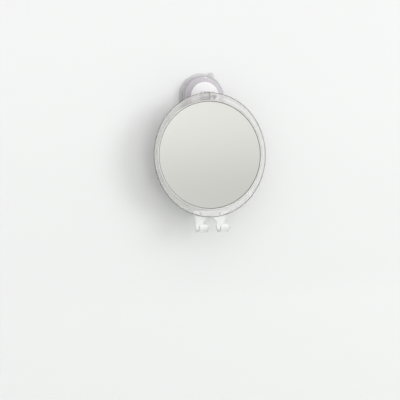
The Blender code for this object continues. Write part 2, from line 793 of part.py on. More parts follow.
def make_front_ring(parts, tools):
    """The crowned ring. Its lip laps the mirror, a rib centres it, and a skirt meets the rear shell."""
    crown_shares = (0.12, 0.34, 0.6, 0.84)
    crown_height_shares = (0.72, 0.96, 1.0, 0.86)
    section = [(OPENING_RADIUS, 0, 0, LIP_OUT + RING_INNER_EDGE)]
    for share, height_share in zip(crown_shares, crown_height_shares):
        height = RING_INNER_EDGE + (RING_CROWN - RING_INNER_EDGE) * height_share
        section.append((OPENING_RADIUS, share, 0, LIP_OUT + height))
    section += [
        (OPENING_RADIUS, 1, 0, LIP_OUT + RING_INNER_EDGE),
        (OPENING_RADIUS, 1, 0, LIP_OUT),
        (OPENING_RADIUS, 1, SKIRT_INSET, SKIRT_OUT),
        (OPENING_RADIUS, 1, SKIRT_INSET + SKIRT_WALL, SKIRT_OUT),
        (OPENING_RADIUS, 1, SKIRT_WALL, LIP_OUT),
        (RING_RIB_OUTER, 0, 0, LIP_OUT),
        (RING_RIB_OUTER, 0, 0, SKIRT_OUT),
        (RING_RIB_INNER, 0, 0, SKIRT_OUT),
        (RING_RIB_INNER, 0, 0, LIP_OUT),
        (OPENING_RADIUS, 0, 0, LIP_OUT),
    ]
    ring = head_loft("front_ring", section, parts)
    notch_foot_z = RING_RIB_OUTER - HEAD_DROP + CLEARANCE
    pivot_notch = box(
        "ring_pivot_notch",
        (NOTCH_LEFT_X, -LIP_OUT, notch_foot_z),
        (NOTCH_RIGHT_X, -SKIRT_OUT + OVERRUN, KNUCKLE_RADIUS + OVERRUN),
        tools,
    )
    half = TONGUE_HALF_WIDTH + CLEARANCE
    holder_notch = box(
        "ring_holder_notch",
        (-half, -LIP_OUT, HEAD_BOTTOM_Z - OVERRUN),
        (half, -SKIRT_OUT + OVERRUN, TONGUE_TOP_Z + CLEARANCE / 2),
        tools,
    )
    cut(ring, pivot_notch, holder_notch)
    for side, label in ((-1, "left"), (1, "right")):
        place = side * PEG_SPREAD / 2
        start = (place, -LIP_OUT - RING_INNER_EDGE, PEG_Z)
        end = (place, -SKIRT_OUT, PEG_Z)
        join(ring, bar(f"ring_{label}_peg", start, end, PEG_RADIUS, SMALL_STEPS, tools))
    return ring


def make_rear_shell(parts, tools):
    """The dish behind the mirror, with the rib that backs it and the moving knuckle of the pivot."""
    depth = SHELL_RIM_OUT - SHELL_BACK_OUT
    inner_depth = depth - SHELL_WALL
    inner_inset = SKIRT_INSET + SHELL_WALL
    reach = HEAD_HALF_WIDTH - inner_inset - SHELL_FLAT_RADIUS

    def foot(turn):
        return SHELL_RIM_OUT - inner_depth * math.cos(turn)

    rib_outer_turn = math.asin((SHELL_RIB_OUTER - SHELL_FLAT_RADIUS) / reach)
    rib_inner_turn = math.asin((SHELL_RIB_INNER - SHELL_FLAT_RADIUS) / reach)
    section = [
        (0, 0, 0, SHELL_BACK_OUT + SHELL_WALL),
        (SHELL_FLAT_RADIUS, 0, 0, SHELL_BACK_OUT + SHELL_WALL),
        (SHELL_RIB_INNER, 0, 0, foot(rib_inner_turn)),
        (SHELL_RIB_INNER, 0, 0, SHELL_RIB_OUT),
        (SHELL_RIB_OUTER, 0, 0, SHELL_RIB_OUT),
        (SHELL_RIB_OUTER, 0, 0, foot(rib_outer_turn)),
    ]
    inner_steps = 2
    for step in range(1, inner_steps + 1):
        turn = rib_outer_turn + (math.pi / 2 - rib_outer_turn) * step / inner_steps
        section.append((SHELL_FLAT_RADIUS, math.sin(turn), inner_inset, foot(turn)))
    outer_steps = 5
    for step in range(outer_steps + 1):
        turn = math.pi / 2 * (1 - step / outer_steps)
        out = SHELL_RIM_OUT - depth * math.cos(turn)
        section.append((SHELL_FLAT_RADIUS, math.sin(turn), SKIRT_INSET, out))
    section.append((0, 0, 0, SHELL_BACK_OUT))
    shell = head_loft("rear_shell", section, parts)
    pivot_notch = box(
        "shell_pivot_notch",
        (NOTCH_LEFT_X, -SHELL_RIM_OUT - OVERRUN, -KNUCKLE_RADIUS - NOTCH_MARGIN),
        (NOTCH_RIGHT_X, -SHELL_BACK_OUT + OVERRUN, KNUCKLE_RADIUS + OVERRUN),
        tools,
    )
    cut(shell, pivot_notch)
    knuckle = bar(
        "shell_knuckle",
        (KNUCKLE_X, -PIVOT_OUT, 0),
        (HEAD_SIDE_X, -PIVOT_OUT, 0),
        KNUCKLE_RADIUS,
        SMALL_STEPS,
        tools,
    )
    web = box(
        "shell_knuckle_web",
        (KNUCKLE_X + CLEARANCE, -SHELL_RIB_OUT + CLEARANCE, SHELL_RIB_INNER - HEAD_DROP),
        (HEAD_SIDE_X - CLEARANCE, -SHELL_BACK_OUT - SHELL_WALL / 2, 0),
        tools,
    )
    join(shell, knuckle, web)
    bore = bar(
        "shell_knuckle_bore",
        (-OVERRUN, -PIVOT_OUT, 0),
        (HEAD_SIDE_X + OVERRUN, -PIVOT_OUT, 0),
        SCREW_RADIUS + CLEARANCE,
        SMALL_STEPS,
        tools,
    )
    cut(shell, bore)
    return shell


def make_razor_holder(parts, tools):
    """Plate on the ring's pegs, bent forward and up into a hook and parted in two by an arched notch."""
    back = SKIRT_OUT
    front = back + HOLDER_THICKNESS
    side_view = [(back, TONGUE_TOP_Z + OVERRUN), (front, TONGUE_TOP_Z + OVERRUN)]
    side_view += arc((HOOK_OUT, HOOK_TOP_Z), HOOK_INNER_RADIUS, HOOK_INNER_RADIUS, -math.pi, 0, HOOK_STEPS)
    side_view += [(HOOK_OUT + HOOK_INNER_RADIUS, HOOK_TOP_Z + HOOK_TIP)]
    side_view += [(HOOK_OUT + HOOK_OUTER_RADIUS, HOOK_TOP_Z + HOOK_TIP)]
    side_view += arc((HOOK_OUT, HOOK_TOP_Z), HOOK_OUTER_RADIUS, HOOK_OUTER_RADIUS, 0, -math.pi, HOOK_STEPS)
    half = TONGUE_HALF_WIDTH + CLEARANCE
    holder = flat_solid("razor_holder", side_view, -half, half, parts, facing="SIDE")

    flare_z = HEAD_BOTTOM_Z + HOLDER_FLARE - NOTCH_BELOW_RING
    corner = (TONGUE_HALF_WIDTH - TONGUE_CORNER, TONGUE_TOP_Z - TONGUE_CORNER)
    fillet = (TONGUE_HALF_WIDTH, flare_z - HOLDER_FLARE)
    right_side = [
        *arc(corner, TONGUE_CORNER, TONGUE_CORNER, math.pi / 2, 0, FILLET_STEPS),
        *arc(fillet, HOLDER_FLARE, HOLDER_FLARE, math.pi / 2, math.pi, FILLET_STEPS),
        (HOLDER_WIDTH / 2, HOOK_TOP_Z - HOOK_OUTER_RADIUS - OVERRUN),
    ]
    left_side = [(-across, up) for across, up in reversed(right_side)]
    low = back - OVERRUN
    high = HOOK_OUT + HOOK_OUTER_RADIUS + OVERRUN
    keep(holder, flat_solid("holder_front_view", right_side + left_side, low, high, tools))

    arch_z = HEAD_BOTTOM_Z - NOTCH_BELOW_RING - NOTCH_ARCH
    bottom_z = HOOK_TOP_Z - HOOK_OUTER_RADIUS - OVERRUN
    notch = [(-NOTCH_WIDTH / 2, bottom_z), (NOTCH_WIDTH / 2, bottom_z)]
    notch += arc((0, arch_z), NOTCH_WIDTH / 2, NOTCH_ARCH, 0, math.pi, HOOK_STEPS)
    cut(holder, flat_solid("holder_notch", notch, low, high, tools))

    tip_z = HOOK_TOP_Z + HOOK_TIP
    for inner, outer, label in (
        (-NOTCH_WIDTH / 2, -HOLDER_WIDTH / 2, "left"),
        (NOTCH_WIDTH / 2, HOLDER_WIDTH / 2, "right"),
    ):
        for edge, other, name in ((inner, outer, "inner"), (outer, inner, "outer")):
            toward = math.copysign(1, other - edge)
            middle = (edge + toward * PRONG_CORNER, tip_z - PRONG_CORNER)
            corner = [
                (middle[0], tip_z + OVERRUN),
                (edge - toward * OVERRUN, tip_z + OVERRUN),
                (edge - toward * OVERRUN, middle[1]),
            ]
            last = math.pi / 2
            first = math.pi if toward > 0 else 0
            corner += arc(middle, PRONG_CORNER, PRONG_CORNER, first, last, FILLET_STEPS)
            cut(holder, flat_solid(f"holder_{label}_{name}_corner", corner, HOOK_OUT, high, tools))
    for side, label in ((-1, "left"), (1, "right")):
        place = side * PEG_SPREAD / 2
        start = (place, -back + OVERRUN, PEG_Z)
        end = (place, -front - OVERRUN, PEG_Z)
        cut(holder, bar(f"holder_{label}_hole", start, end, PEG_RADIUS + CLEARANCE, SMALL_STEPS, tools))
    return holder


def parent_empty(name, place, parts):
    made = bpy.data.objects.new(name, None)
    made.location = place
    parts.objects.link(made)
    return made


def main():
    clear_scene()
    parts = collection("shower_mirror")
    tools = collection("cutters")
    fixed = [
        (make_suction_cup(parts, tools), ((0.80, 0.78, 0.81), 0.12, 0.0, 0.85)),
        (make_mount_housing(parts, tools), ((0.82, 0.80, 0.83), 0.15, 0.0, 0.7)),
    ]
    turning = [
        (make_lock_dial(parts, tools), ((0.82, 0.79, 0.83), 0.2, 0.0, 0.6)),
        (make_dial_cover(parts), ((0.94, 0.93, 0.93), 0.08, 0.0, 0.5)),
    ]
    sliding = [
        (make_cup_post(parts, tools), ((0.88, 0.86, 0.87), 0.15, 0.0, 0.6)),
        (make_lift_pin(parts), ((0.70, 0.70, 0.70), 0.25, 1.0, 0.0)),
        (make_hinge_arm(parts, tools), ((0.86, 0.83, 0.84), 0.1, 0.0, 0.8)),
        (make_arm_pin(parts), ((0.70, 0.70, 0.70), 0.25, 1.0, 0.0)),
        (make_pivot_screw(parts, tools), ((0.62, 0.61, 0.60), 0.3, 1.0, 0.0)),
        (make_pivot_nut(parts, tools), ((0.62, 0.61, 0.60), 0.3, 1.0, 0.0)),
        (
            make_washer("screw_washer", WASHER_RADIUS, WASHER_X, WASHER_X + WASHER_THICKNESS, parts),
            ((0.66, 0.65, 0.64), 0.25, 1.0, 0.0),
        ),
        (
            make_washer(
                "friction_washer",
                FRICTION_WASHER_RADIUS,
                -FRICTION_WASHER_THICKNESS / 2,
                FRICTION_WASHER_THICKNESS / 2,
                parts,
            ),
            ((0.16, 0.15, 0.16), 0.8, 0.0, 0.0),
        ),
    ]
    tilting = [
        (make_front_ring(parts, tools), ((0.96, 0.96, 0.95), 0.04, 0.0, 1.0)),
        (make_rear_shell(parts, tools), ((0.94, 0.94, 0.93), 0.06, 0.0, 1.0)),
        (make_mirror_plate(parts), ((0.86, 0.86, 0.85), 0.02, 1.0, 0.0)),
        (make_mirror_seal(parts), ((0.35, 0.35, 0.32), 0.7, 0.0, 0.0)),
        (make_razor_holder(parts, tools), ((0.96, 0.97, 0.96), 0.05, 0.0, 1.0)),
    ]
    groups = (
        ("wall_mount", (0, 0, 0), fixed),
        ("dial_axis", (0, 0, 0), turning),
        ("post_slide", (0, 0, 0), sliding),
        ("tilt_pivot", (0, -PIVOT_OUT, 0), tilting),
    )
    for name, place, pieces in groups:
        parent = parent_empty(name, place, parts)
        for piece, (colour, roughness, metallic, clear) in pieces:
            piece.data.materials.append(material(piece.name, colour, roughness, metallic, clear))
            hang(piece, parent)


main()
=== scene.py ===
# %% [markdown]
# # A clear shower mirror on a twist-lock suction mount
# This file dresses a finished CAD model, which gives every piece its place and size. The cells below give
# them rounded edges and finishes. Distances are in metres. The wall is the plane y = 0, the object stands
# out of it towards -y, and "out" means the distance from the wall.

# %% Load the CAD model
import math

import bmesh
import bpy
from mathutils import Matrix, Vector


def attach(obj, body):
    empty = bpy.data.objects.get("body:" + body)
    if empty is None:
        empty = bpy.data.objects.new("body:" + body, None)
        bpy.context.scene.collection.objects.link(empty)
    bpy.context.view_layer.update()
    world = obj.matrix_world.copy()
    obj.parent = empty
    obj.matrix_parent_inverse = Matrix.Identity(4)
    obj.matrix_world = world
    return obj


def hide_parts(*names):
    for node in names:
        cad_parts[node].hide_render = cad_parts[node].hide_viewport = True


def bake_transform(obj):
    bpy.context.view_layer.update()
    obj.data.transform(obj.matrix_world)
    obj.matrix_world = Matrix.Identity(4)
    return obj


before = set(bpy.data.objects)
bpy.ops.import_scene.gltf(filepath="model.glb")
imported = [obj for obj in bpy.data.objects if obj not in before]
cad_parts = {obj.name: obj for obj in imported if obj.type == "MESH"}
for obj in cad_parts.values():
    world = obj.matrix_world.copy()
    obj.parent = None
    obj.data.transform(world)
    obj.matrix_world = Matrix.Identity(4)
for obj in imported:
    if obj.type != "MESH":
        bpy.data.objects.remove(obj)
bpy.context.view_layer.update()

# %% [markdown]
# ## The camera
# A long lens stands 1.15 m from the wall, to the left of the mirror and a little lower than its middle, and
# looks very slightly down. An empty could aim it, but a camera needs only a place, a lens and two angles, so
# these are plain numbers.

# %% Camera
LENS_MM = 91.5
CAMERA_PLACE = (-0.3879, -1.1501, -0.0907)
DOWN = math.radians(1.486)
RIGHT = math.radians(18.563)


def added(name, data):
    """A new object in the scene, from a camera, lamp, curve or mesh."""
    made = bpy.data.objects.new(name, data)
    bpy.context.scene.collection.objects.link(made)
    return made


camera_lens = bpy.data.cameras.new("photo_camera")
camera_lens.sensor_width = 36
camera_lens.lens = LENS_MM
camera = added("photo_camera", camera_lens)
camera.location = CAMERA_PLACE
camera.rotation_euler = (math.pi / 2 - DOWN, 0, -RIGHT)
bpy.context.scene.camera = camera
print("camera at", CAMERA_PLACE)

# %% [markdown]
# ## Sums with node sockets
# Shaders and Geometry Nodes both do their arithmetic with Math nodes. Wiring them one by one hides the
# formula, so `Wire` wraps a socket and lets Python's own signs add the nodes. `Tree.add` makes every other
# node: it sets the node's options first and then feeds its sockets.


# %% A socket that does sums
def sign(operation):
    """What a sign does with a wire on its left, and with a wire on its right only, as in 1 - mask."""

    def forward(self, other):
        return self.math(operation, self, other)

    def reflected(self, other):
        return self.math(operation, other, self)

    return forward, reflected


class Wire:
    __add__, __radd__ = sign("ADD")
    __sub__, __rsub__ = sign("SUBTRACT")
    __mul__, __rmul__ = sign("MULTIPLY")
    __truediv__, __rtruediv__ = sign("DIVIDE")
    __pow__, __rpow__ = sign("POWER")

    def __init__(self, tree, socket):
        self.tree = tree
        self.socket = socket

    def math(self, operation, *values):
        return self.tree.add("ShaderNodeMath", {"operation": operation}, dict(enumerate(values)))

    def cosine(self):
        return self.math("COSINE", self)

    def sine(self):
        return self.math("SINE", self)

    def rising(self, low, high):
        """0 below low, 1 above high, and a smooth rise between them."""
        smooth_step = {"interpolation_type": "SMOOTHSTEP"}
        ends = {"Value": self, "From Min": low, "From Max": high}
        return self.tree.add("ShaderNodeMapRange", smooth_step, ends)

    def output(self, name):
        """Another output of the same node."""
        return Wire(self.tree, self.socket.node.outputs[name])


print("made Wire")


# %% A node tree that takes such sums
class Tree:
    def __init__(self, tree):
        self.tree = tree

    def add(self, kind, settings=None, inputs=None):
        """Any node, from its type, its settings, and numbers or wires for its sockets."""
        made = self.tree.nodes.new(kind)
        for name, value in (settings or {}).items():
            setattr(made, name, value)
        self.feed(made, inputs or {})
        return Wire(self, made.outputs[0]) if made.outputs else made

    def feed(self, node, inputs):
        for name, value in inputs.items():
            if isinstance(value, Wire):
                self.tree.links.new(value.socket, node.inputs[name])
            else:
                node.inputs[name].default_value = value

    def parts_of(self, vector):
        """The x, y and z of a vector wire."""
        split = self.add("ShaderNodeSeparateXYZ", inputs={0: vector})
        return split, split.output("Y"), split.output("Z")

    def vector(self, **parts):
        return self.add("ShaderNodeCombineXYZ", inputs=parts)

    def blend(self, share, first, second):
        """A colour between two colours, each a wire or three numbers."""
        ends = [colour if isinstance(colour, Wire) else (*colour, 1) for colour in (first, second)]
        mix = self.add("ShaderNodeMix", {"data_type": "RGBA"}, {0: share, 6: ends[0], 7: ends[1]})
        return Wire(self, mix.socket.node.outputs[2])

    def spot(self):
        """Where a point lies, as its own object measures it."""
        return self.add("ShaderNodeTexCoord").output("Object")

    def noise(self, spot, scale, detail):
        return self.add("ShaderNodeTexNoise", inputs={"Vector": spot, "Scale": scale, "Detail": detail})


print("made Tree")

# %% [markdown]
# ## One rule for every round and oval form
# Ring, shell, mirror, cup, housing, dial and cover all follow one rule: a section carried once round an
# axis. On the mirror's head the section also changes on the way, because its inner edge is a circle and its
# outer edge an oval. A lathe can't do that, and joining circles by hand takes many vertices. So a grid is
# laid out by its turn and its place along the section, and one formula moves each point. A section's point
# keeps four numbers on a curve point: the radius of the circle, the share of the way from the circle to the
# oval, the distance out from the wall, and in the point's own radius how far it is set in from the oval. The
# point's tilt says how deep the grip grooves cut.

# %% Sizes of the oval head
OPENING_RADIUS = 0.0625
HEAD_HALF_WIDTH = 0.06875
HEAD_HALF_HEIGHT = 0.0723
HEAD_DROP = 0.069
SHARE_UNIT = 0.01
print("head in m:", 2 * HEAD_HALF_WIDTH, "by", 2 * HEAD_HALF_HEIGHT)


# %% How a tree of Geometry Nodes begins and ends
def form_group(name, inputs):
    """A tree, and the node that gives its inputs. An input comes with its usual number or its kind."""
    group = bpy.data.node_groups.new(name, "GeometryNodeTree")
    for label, value in inputs.items():
        kind = {int: "Int", float: "Float"}.get(type(value), value)
        socket = group.interface.new_socket(label, in_out="INPUT", socket_type=f"NodeSocket{kind}")
        if value != kind:
            socket.default_value = value
    group.interface.new_socket("Geometry", in_out="OUTPUT", socket_type="NodeSocketGeometry")
    tree = Tree(group)
    return tree, tree.add("NodeGroupInput")


def ended(tree, geometry):
    """The group with its result. It is ready for use."""
    tree.add("NodeGroupOutput", inputs={0: geometry})
    print("tree", tree.tree.name, "has", len(tree.tree.nodes), "nodes")
    return tree.tree


def dressed(tree, geometry, finish):
    """Copies made real, because an export drops mere copies, with their finish."""
    real = tree.add("GeometryNodeRealizeInstances", inputs={"Geometry": geometry})
    return tree.add("GeometryNodeSetMaterial", inputs={"Geometry": real, "Material": finish})


print("made form_group, ended and dressed")

# %% The tree that carries a section round
WELD = 0.000002


def round_form_tree():
    inputs = {"Section": "Object", "Steps": 192, "Closed": 1}
    inputs |= {"Half Width": HEAD_HALF_WIDTH, "Half Height": HEAD_HALF_HEIGHT, "Drop": 0.0}
    inputs |= {"Grooves": 0, "Groove Depth": 0.0, "Finish": "Material"}
    tree, given = form_group("round_form", inputs)
    section = tree.add("GeometryNodeObjectInfo", inputs={"Object": given.output("Section")})
    section = section.output("Geometry")
    count = tree.add("GeometryNodeAttributeDomainSize", {"component": "CURVE"}, {0: section})
    rows = count + given.output("Closed")
    grid_inputs = {"Size X": 1, "Size Y": 1, "Vertices X": given.output("Steps") + 1, "Vertices Y": rows}
    grid = tree.add("GeometryNodeMeshGrid", inputs=grid_inputs)

    along, across, _ = tree.parts_of(tree.add("GeometryNodeInputPosition"))
    turn = (along + 0.5) * math.tau
    row = (across + 0.5) * (rows - 1)
    row = row.math("ROUND", row)
    index = row.math("MODULO", row, count)

    def sampled(kind, value):
        wanted = {"Geometry": section, "Value": value, "Index": index}
        return tree.add("GeometryNodeSampleIndex", {"data_type": kind, "domain": "POINT"}, wanted)

    radius, share_length, out = tree.parts_of(sampled("FLOAT_VECTOR", tree.add("GeometryNodeInputPosition")))
    inset = sampled("FLOAT", tree.add("GeometryNodeInputRadius"))
    groove_share = sampled("FLOAT", tree.add("GeometryNodeInputCurveTilt"))
    share = share_length / SHARE_UNIT

    ripple = 0.5 - (turn * given.output("Grooves")).cosine() * 0.5
    radius = radius - given.output("Groove Depth") * groove_share * ripple**2
    half_width = given.output("Half Width")
    half_height = given.output("Half Height")
    square_x = turn.cosine() / half_width
    square_z = turn.sine() / half_height
    length = (square_x * square_x + square_z * square_z) ** 0.5
    oval_x = half_width * turn.cosine() - inset * square_x / length
    oval_z = half_height * turn.sine() - inset * square_z / length
    circle_x = radius * turn.cosine()
    circle_z = radius * turn.sine()
    x = circle_x + (oval_x - circle_x) * share
    z = circle_z + (oval_z - circle_z) * share - given.output("Drop")
    place = tree.vector(X=x, Y=0 - out, Z=z)
    moved = tree.add("GeometryNodeSetPosition", inputs={"Geometry": grid, "Position": place})
    welded = tree.add("GeometryNodeMergeByDistance", inputs={"Geometry": moved, "Distance": WELD})
    return ended(tree, dressed(tree, welded, given.output("Finish")))


ROUND_FORM = round_form_tree()

# %% [markdown]
# ## Sections with soft corners
# Moulded plastic has no knife edges, and clear plastic shows its edges more than its faces. A Bevel modifier
# could round them afterwards, but it stumbles where many faces meet. So a section is written as its few real
# corners, and `softened` trades each corner for a short curve. It works on all the numbers of a point at
# once, so it also rounds where a circle turns into the oval.


# %% Softened sections
def place_of(point):
    """About where a section point lies, to measure its edges."""
    radius, share, inset, out = point[:4]
    return Vector((radius * (1 - share) + (HEAD_HALF_WIDTH - inset) * share, out))


def between(first, second, share):
    return tuple(a + (b - a) * share for a, b in zip(first, second))


def softened(points, radius, steps=4, closed=True, keep=()):
    """The same section with every corner rounded, but for those whose place in the list is in keep."""
    made = []
    last = len(points) - 1
    for place, point in enumerate(points):
        if place in keep or (not closed and place in (0, last)):
            made.append(point)
            continue
        before = points[place - 1]
        after = points[(place + 1) % len(points)]
        back = (place_of(before) - place_of(point)).length
        ahead = (place_of(after) - place_of(point)).length
        start = between(point, before, min(radius / back, 0.45))
        end = between(point, after, min(radius / ahead, 0.45))
        for step in range(steps + 1):
            share = step / steps
            made.append(between(between(start, point, share), between(point, end, share), share))
    return made


print("made softened")


# %% A section as a curve
def point_curve(name, places):
    """A curve of straight lines through the places."""
    curve = bpy.data.curves.new(name, "CURVE")
    curve.dimensions = "3D"
    spline = curve.splines.new("POLY")
    spline.points.add(len(places) - 1)
    for knot, place in zip(spline.points, places):
        knot.co = (*place, 1)
    return added(name, curve)


def section_curve(name, points):
    """A curve whose points carry the numbers of a section."""
    made = point_curve(name, [(radius, share * SHARE_UNIT, out) for radius, share, _, out, *_ in points])
    for knot, point in zip(made.data.splines[0].points, points):
        knot.radius = point[2]
        knot.tilt = point[4] if len(point) > 4 else 0
    return made


print("a share of 1 is kept as", SHARE_UNIT, "m")

# %% [markdown]
# ## From modifiers to plain meshes
# A modifier's result exists only while it is worked out. Each piece is finished as its own plain mesh at the
# origin, with its place in its points, so that patterns which read object coordinates stay put and the
# export sees it all.


# %% Plain meshes
def settle(thing):
    """Turns what the modifiers show into the object's own mesh, at the origin."""
    bpy.context.view_layer.update()
    shown = thing.evaluated_get(bpy.context.evaluated_depsgraph_get())
    mesh = bpy.data.meshes.new_from_object(shown)
    mesh.transform(thing.matrix_world)
    thing.modifiers.clear()
    thing.data = mesh
    thing.matrix_world = Matrix.Identity(4)
    return thing


def grown(thing, group, values):
    """Runs a Geometry Nodes tree on the object. A modifier's inputs are set by their identifiers."""
    form = thing.modifiers.new(group.name, "NODES")
    form.node_group = group
    for item in group.interface.items_tree:
        if item.in_out == "INPUT" and item.name in values:
            form[item.identifier] = values[item.name]
    return settle(thing)


def painted(thing, finish):
    """Gives every face the one finish, also where a tool has left new faces."""
    thing.data.materials.clear()
    thing.data.materials.append(finish)
    thing.data.polygons.foreach_set("material_index", [0] * len(thing.data.polygons))
    return thing


def smooth(thing):
    thing.data.shade_smooth()
    thing.data.set_sharp_from_angle(angle=math.radians(30))
    return thing


print("made settle, grown, painted and smooth")


# %% Meshes from bmesh
def from_form(name, form):
    bmesh.ops.recalc_face_normals(form, faces=form.faces)
    mesh = bpy.data.meshes.new(name)
    form.to_mesh(mesh)
    form.free()
    return added(name, mesh)


def face_out(thing):
    """Closes seams and turns all faces outwards."""
    form = bmesh.new()
    form.from_mesh(thing.data)
    bmesh.ops.remove_doubles(form, verts=form.verts, dist=WELD)
    bmesh.ops.recalc_face_normals(form, faces=form.faces)
    form.to_mesh(thing.data)
    form.free()
    return thing


def round_form(name, points, finish, closed=True, steps=192, drop=0.0, grooves=0, groove_depth=0.0):
    """A piece made by carrying a section round, as a plain mesh with its faces outwards."""
    section = section_curve(name + "_section", points)
    values = {"Section": section, "Steps": steps, "Closed": int(closed), "Drop": drop, "Finish": finish}
    values |= {"Grooves": grooves, "Groove Depth": groove_depth}
    thing = grown(from_form(name, bmesh.new()), ROUND_FORM, values)
    bpy.data.objects.remove(section)
    painted(face_out(thing), finish)
    print(name, "has", len(thing.data.polygons), "faces")
    return thing


print("made from_form, face_out and round_form")

# %% [markdown]
# ## The mirror plate
# A round mirror with a ground edge. It is silvered on its front face and painted on its back. Just inside the
# ring's opening the silver stops at a thin dark band, which is painted shade where the lip's edge darkens the
# mirror. Three objects could carry the three finishes, but the plate is one piece, so its material asks where
# a point lies and mixes them. A flattened cylinder would have knife edges, so the plate is a round form with
# a small bevel. It needs no oval, so its section keeps a share of 0.

# %% Finish of the mirror
SILVER_EDGE = (0.0618, 0.0619)
GROUND_EDGE = (0.0625, 0.0626)
FRONT_FACE = (-0.03345, -0.03335)
BACK_FACE = (-0.0316, -0.0315)


def shader_tree(name):
    """A new material, its tree and its shader."""
    made = bpy.data.materials.new(name)
    made.use_nodes = True
    print("made the material", name)
    return made, Tree(made.node_tree), made.node_tree.nodes["Principled BSDF"]


def distance(across, up):
    return (across**2 + up**2) ** 0.5


def mirror_finish():
    made, tree, shader = shader_tree("silvered_mirror")
    spot = tree.spot()
    across, depth, up = tree.parts_of(spot)
    reach = distance(across, up + HEAD_DROP)
    silver = (1 - depth.rising(*FRONT_FACE)) * (1 - reach.rising(*SILVER_EDGE))
    dust = tree.noise(spot, 140, 4)
    paint = tree.blend(dust, (0.20, 0.205, 0.17), (0.25, 0.255, 0.22))
    # the dark band is painted shade along the lip's edge; the light grey beyond it is the ground edge
    shade_band_and_ground_edge = tree.blend(reach.rising(*GROUND_EDGE), (0.05, 0.052, 0.045), (0.72, 0.74, 0.72))
    rest = tree.blend(depth.rising(*BACK_FACE), shade_band_and_ground_edge, paint)
    colour = tree.blend(silver, rest, (0.875, 0.873, 0.832))
    roughness = 0.3 - silver * 0.28 + dust * 0.01
    tree.feed(shader, {"Base Color": colour, "Metallic": silver, "Roughness": roughness, "IOR": 1.5})
    return made


MIRROR = mirror_finish()


# %% Mirror plate
def turned(*points):
    """A section without an oval, from (radius, out) points, as on a lathe."""
    return [(radius, 0, 0, out) for radius, out in points]


def stand_in(thing, node, body):
    """The piece is shaded, takes the place of a CAD node and moves with its body."""
    smooth(thing)
    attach(thing, body)
    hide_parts(node)
    print(thing.name, "with", len(thing.data.polygons), "faces stands for", node, "and moves with", body)


MIRROR_RADIUS = 0.0635
MIRROR_BEVEL = 0.0004
MIRROR_BACK_OUT = 0.0315
MIRROR_FRONT_OUT = 0.0335
mirror_section = turned(
    (0.0, MIRROR_FRONT_OUT),
    (0.0624, MIRROR_FRONT_OUT),
    (MIRROR_RADIUS - MIRROR_BEVEL, MIRROR_FRONT_OUT),
    (MIRROR_RADIUS, MIRROR_FRONT_OUT - MIRROR_BEVEL),
    (MIRROR_RADIUS, MIRROR_BACK_OUT),
    (0.0, MIRROR_BACK_OUT),
)
mirror_plate = round_form("mirror", mirror_section, MIRROR, closed=False, drop=HEAD_DROP)
stand_in(mirror_plate, "mirror_plate", "mirror_head")

# %% [markdown]
# ## Clear moulded plastic
# Ring, shell, arm and holder are moulded in clear plastic, and housing, dial and cup are milkier. A thin
# tint would lose the bent light at the edges, and a solid glass would bend all that lies behind it, which
# these thin walls don't do. So each plastic is a mix: one share of it bends light as glass does, and the
# rest lets it pass straight. A face seen on edge has more of the first share, because one looks along the
# plastic there and not through it. The melt's flow leaves a faint waviness, the polish is uneven, and haze
# raises the roughness of the milky pieces.


# %% Clear plastic
def clear_plastic(name, light, deep, roughness, see_through, body, edge, grain=55, marks=None):
    """The share `body` bends light, and `edge` does so on faces seen on edge. The rest passes straight on."""
    made, tree, shader = shader_tree(name)
    spot = tree.spot()
    flow = tree.noise(spot, grain, 2)
    polish = tree.noise(spot, grain * 9, 3)
    colour = tree.blend(flow.rising(0.3, 0.7), light, deep)
    turned_away = tree.add("ShaderNodeLayerWeight", inputs={"Blend": 0.5}).output("Facing")
    share = body + (edge - body) * turned_away**3
    # each mark paints shade, or a highlight, into the colour
    for mask, tone in marks(tree, spot) if marks else ():
        colour = tree.blend(mask, colour, tone)
        share = share + (edge - share) * mask
    uneven = roughness + polish * (roughness * 0.6)
    bump = tree.add("ShaderNodeBump", inputs={"Height": flow, "Distance": 0.00004, "Strength": 0.5})
    tree.feed(shader, {"Base Color": colour, "Alpha": share, "Roughness": uneven, "Normal": bump})
    tree.feed(shader, {"Transmission Weight": see_through, "IOR": 1.49})
    return made


print("made clear_plastic")

# %% [markdown]
# ## Painted light and shade on clear plastic
# A rim, a foot or a cut edge looks dark on a clear moulding, because light has a long way through the
# plastic there. Tracing such paths takes many bounces, so these places get painted shade from masks, made
# from the sizes of their own piece, and the cup's tab gets a painted highlight. A mask and a tone go
# together:
# where the mask is 1, the plastic has that tone and the share of a face seen on edge.

# %% Plastic of the ring
RING_RIM_SHADE = (0.9895, 0.992)


def ring_rim_shade(tree, spot):
    """Painted shade along the ring's outermost edge."""
    across, _, up = tree.parts_of(spot)
    reach = distance(across / HEAD_HALF_WIDTH, (up + HEAD_DROP) / HEAD_HALF_HEIGHT)
    return ((reach.rising(*RING_RIM_SHADE), (0.17, 0.165, 0.16)),)


POLISHED = {"light": (0.995, 0.985, 0.968), "deep": (0.975, 0.962, 0.942), "roughness": 0.015}
CLEAR_RING = clear_plastic("clear_ring", **POLISHED, see_through=0.38, body=0.25, edge=0.8, marks=ring_rim_shade)

# %% [markdown]
# ## The oval ring
# The ring laps the mirror's edge, swells into a flat crown and drops in a skirt to the rear shell. A thin
# round rib behind the crown centres the mirror. The crown follows a flattened curve, and every corner is
# softened, because the bright and dark lines that show clear plastic come from these small radii.

# %% Section of the ring
LIP_OUT = 0.0338
INNER_EDGE = 0.0007
CROWN = 0.0017
CROWN_STEPS = 18
SKIRT_OUT = 0.0312
SKIRT_INSET = 0.0013
SKIRT_WALL = 0.0014
RIB_INNER = 0.0638
RIB_OUTER = 0.0648


def spread(first, last, steps):
    """Numbers in even steps, with both ends."""
    return [first + (last - first) * step / steps for step in range(steps + 1)]


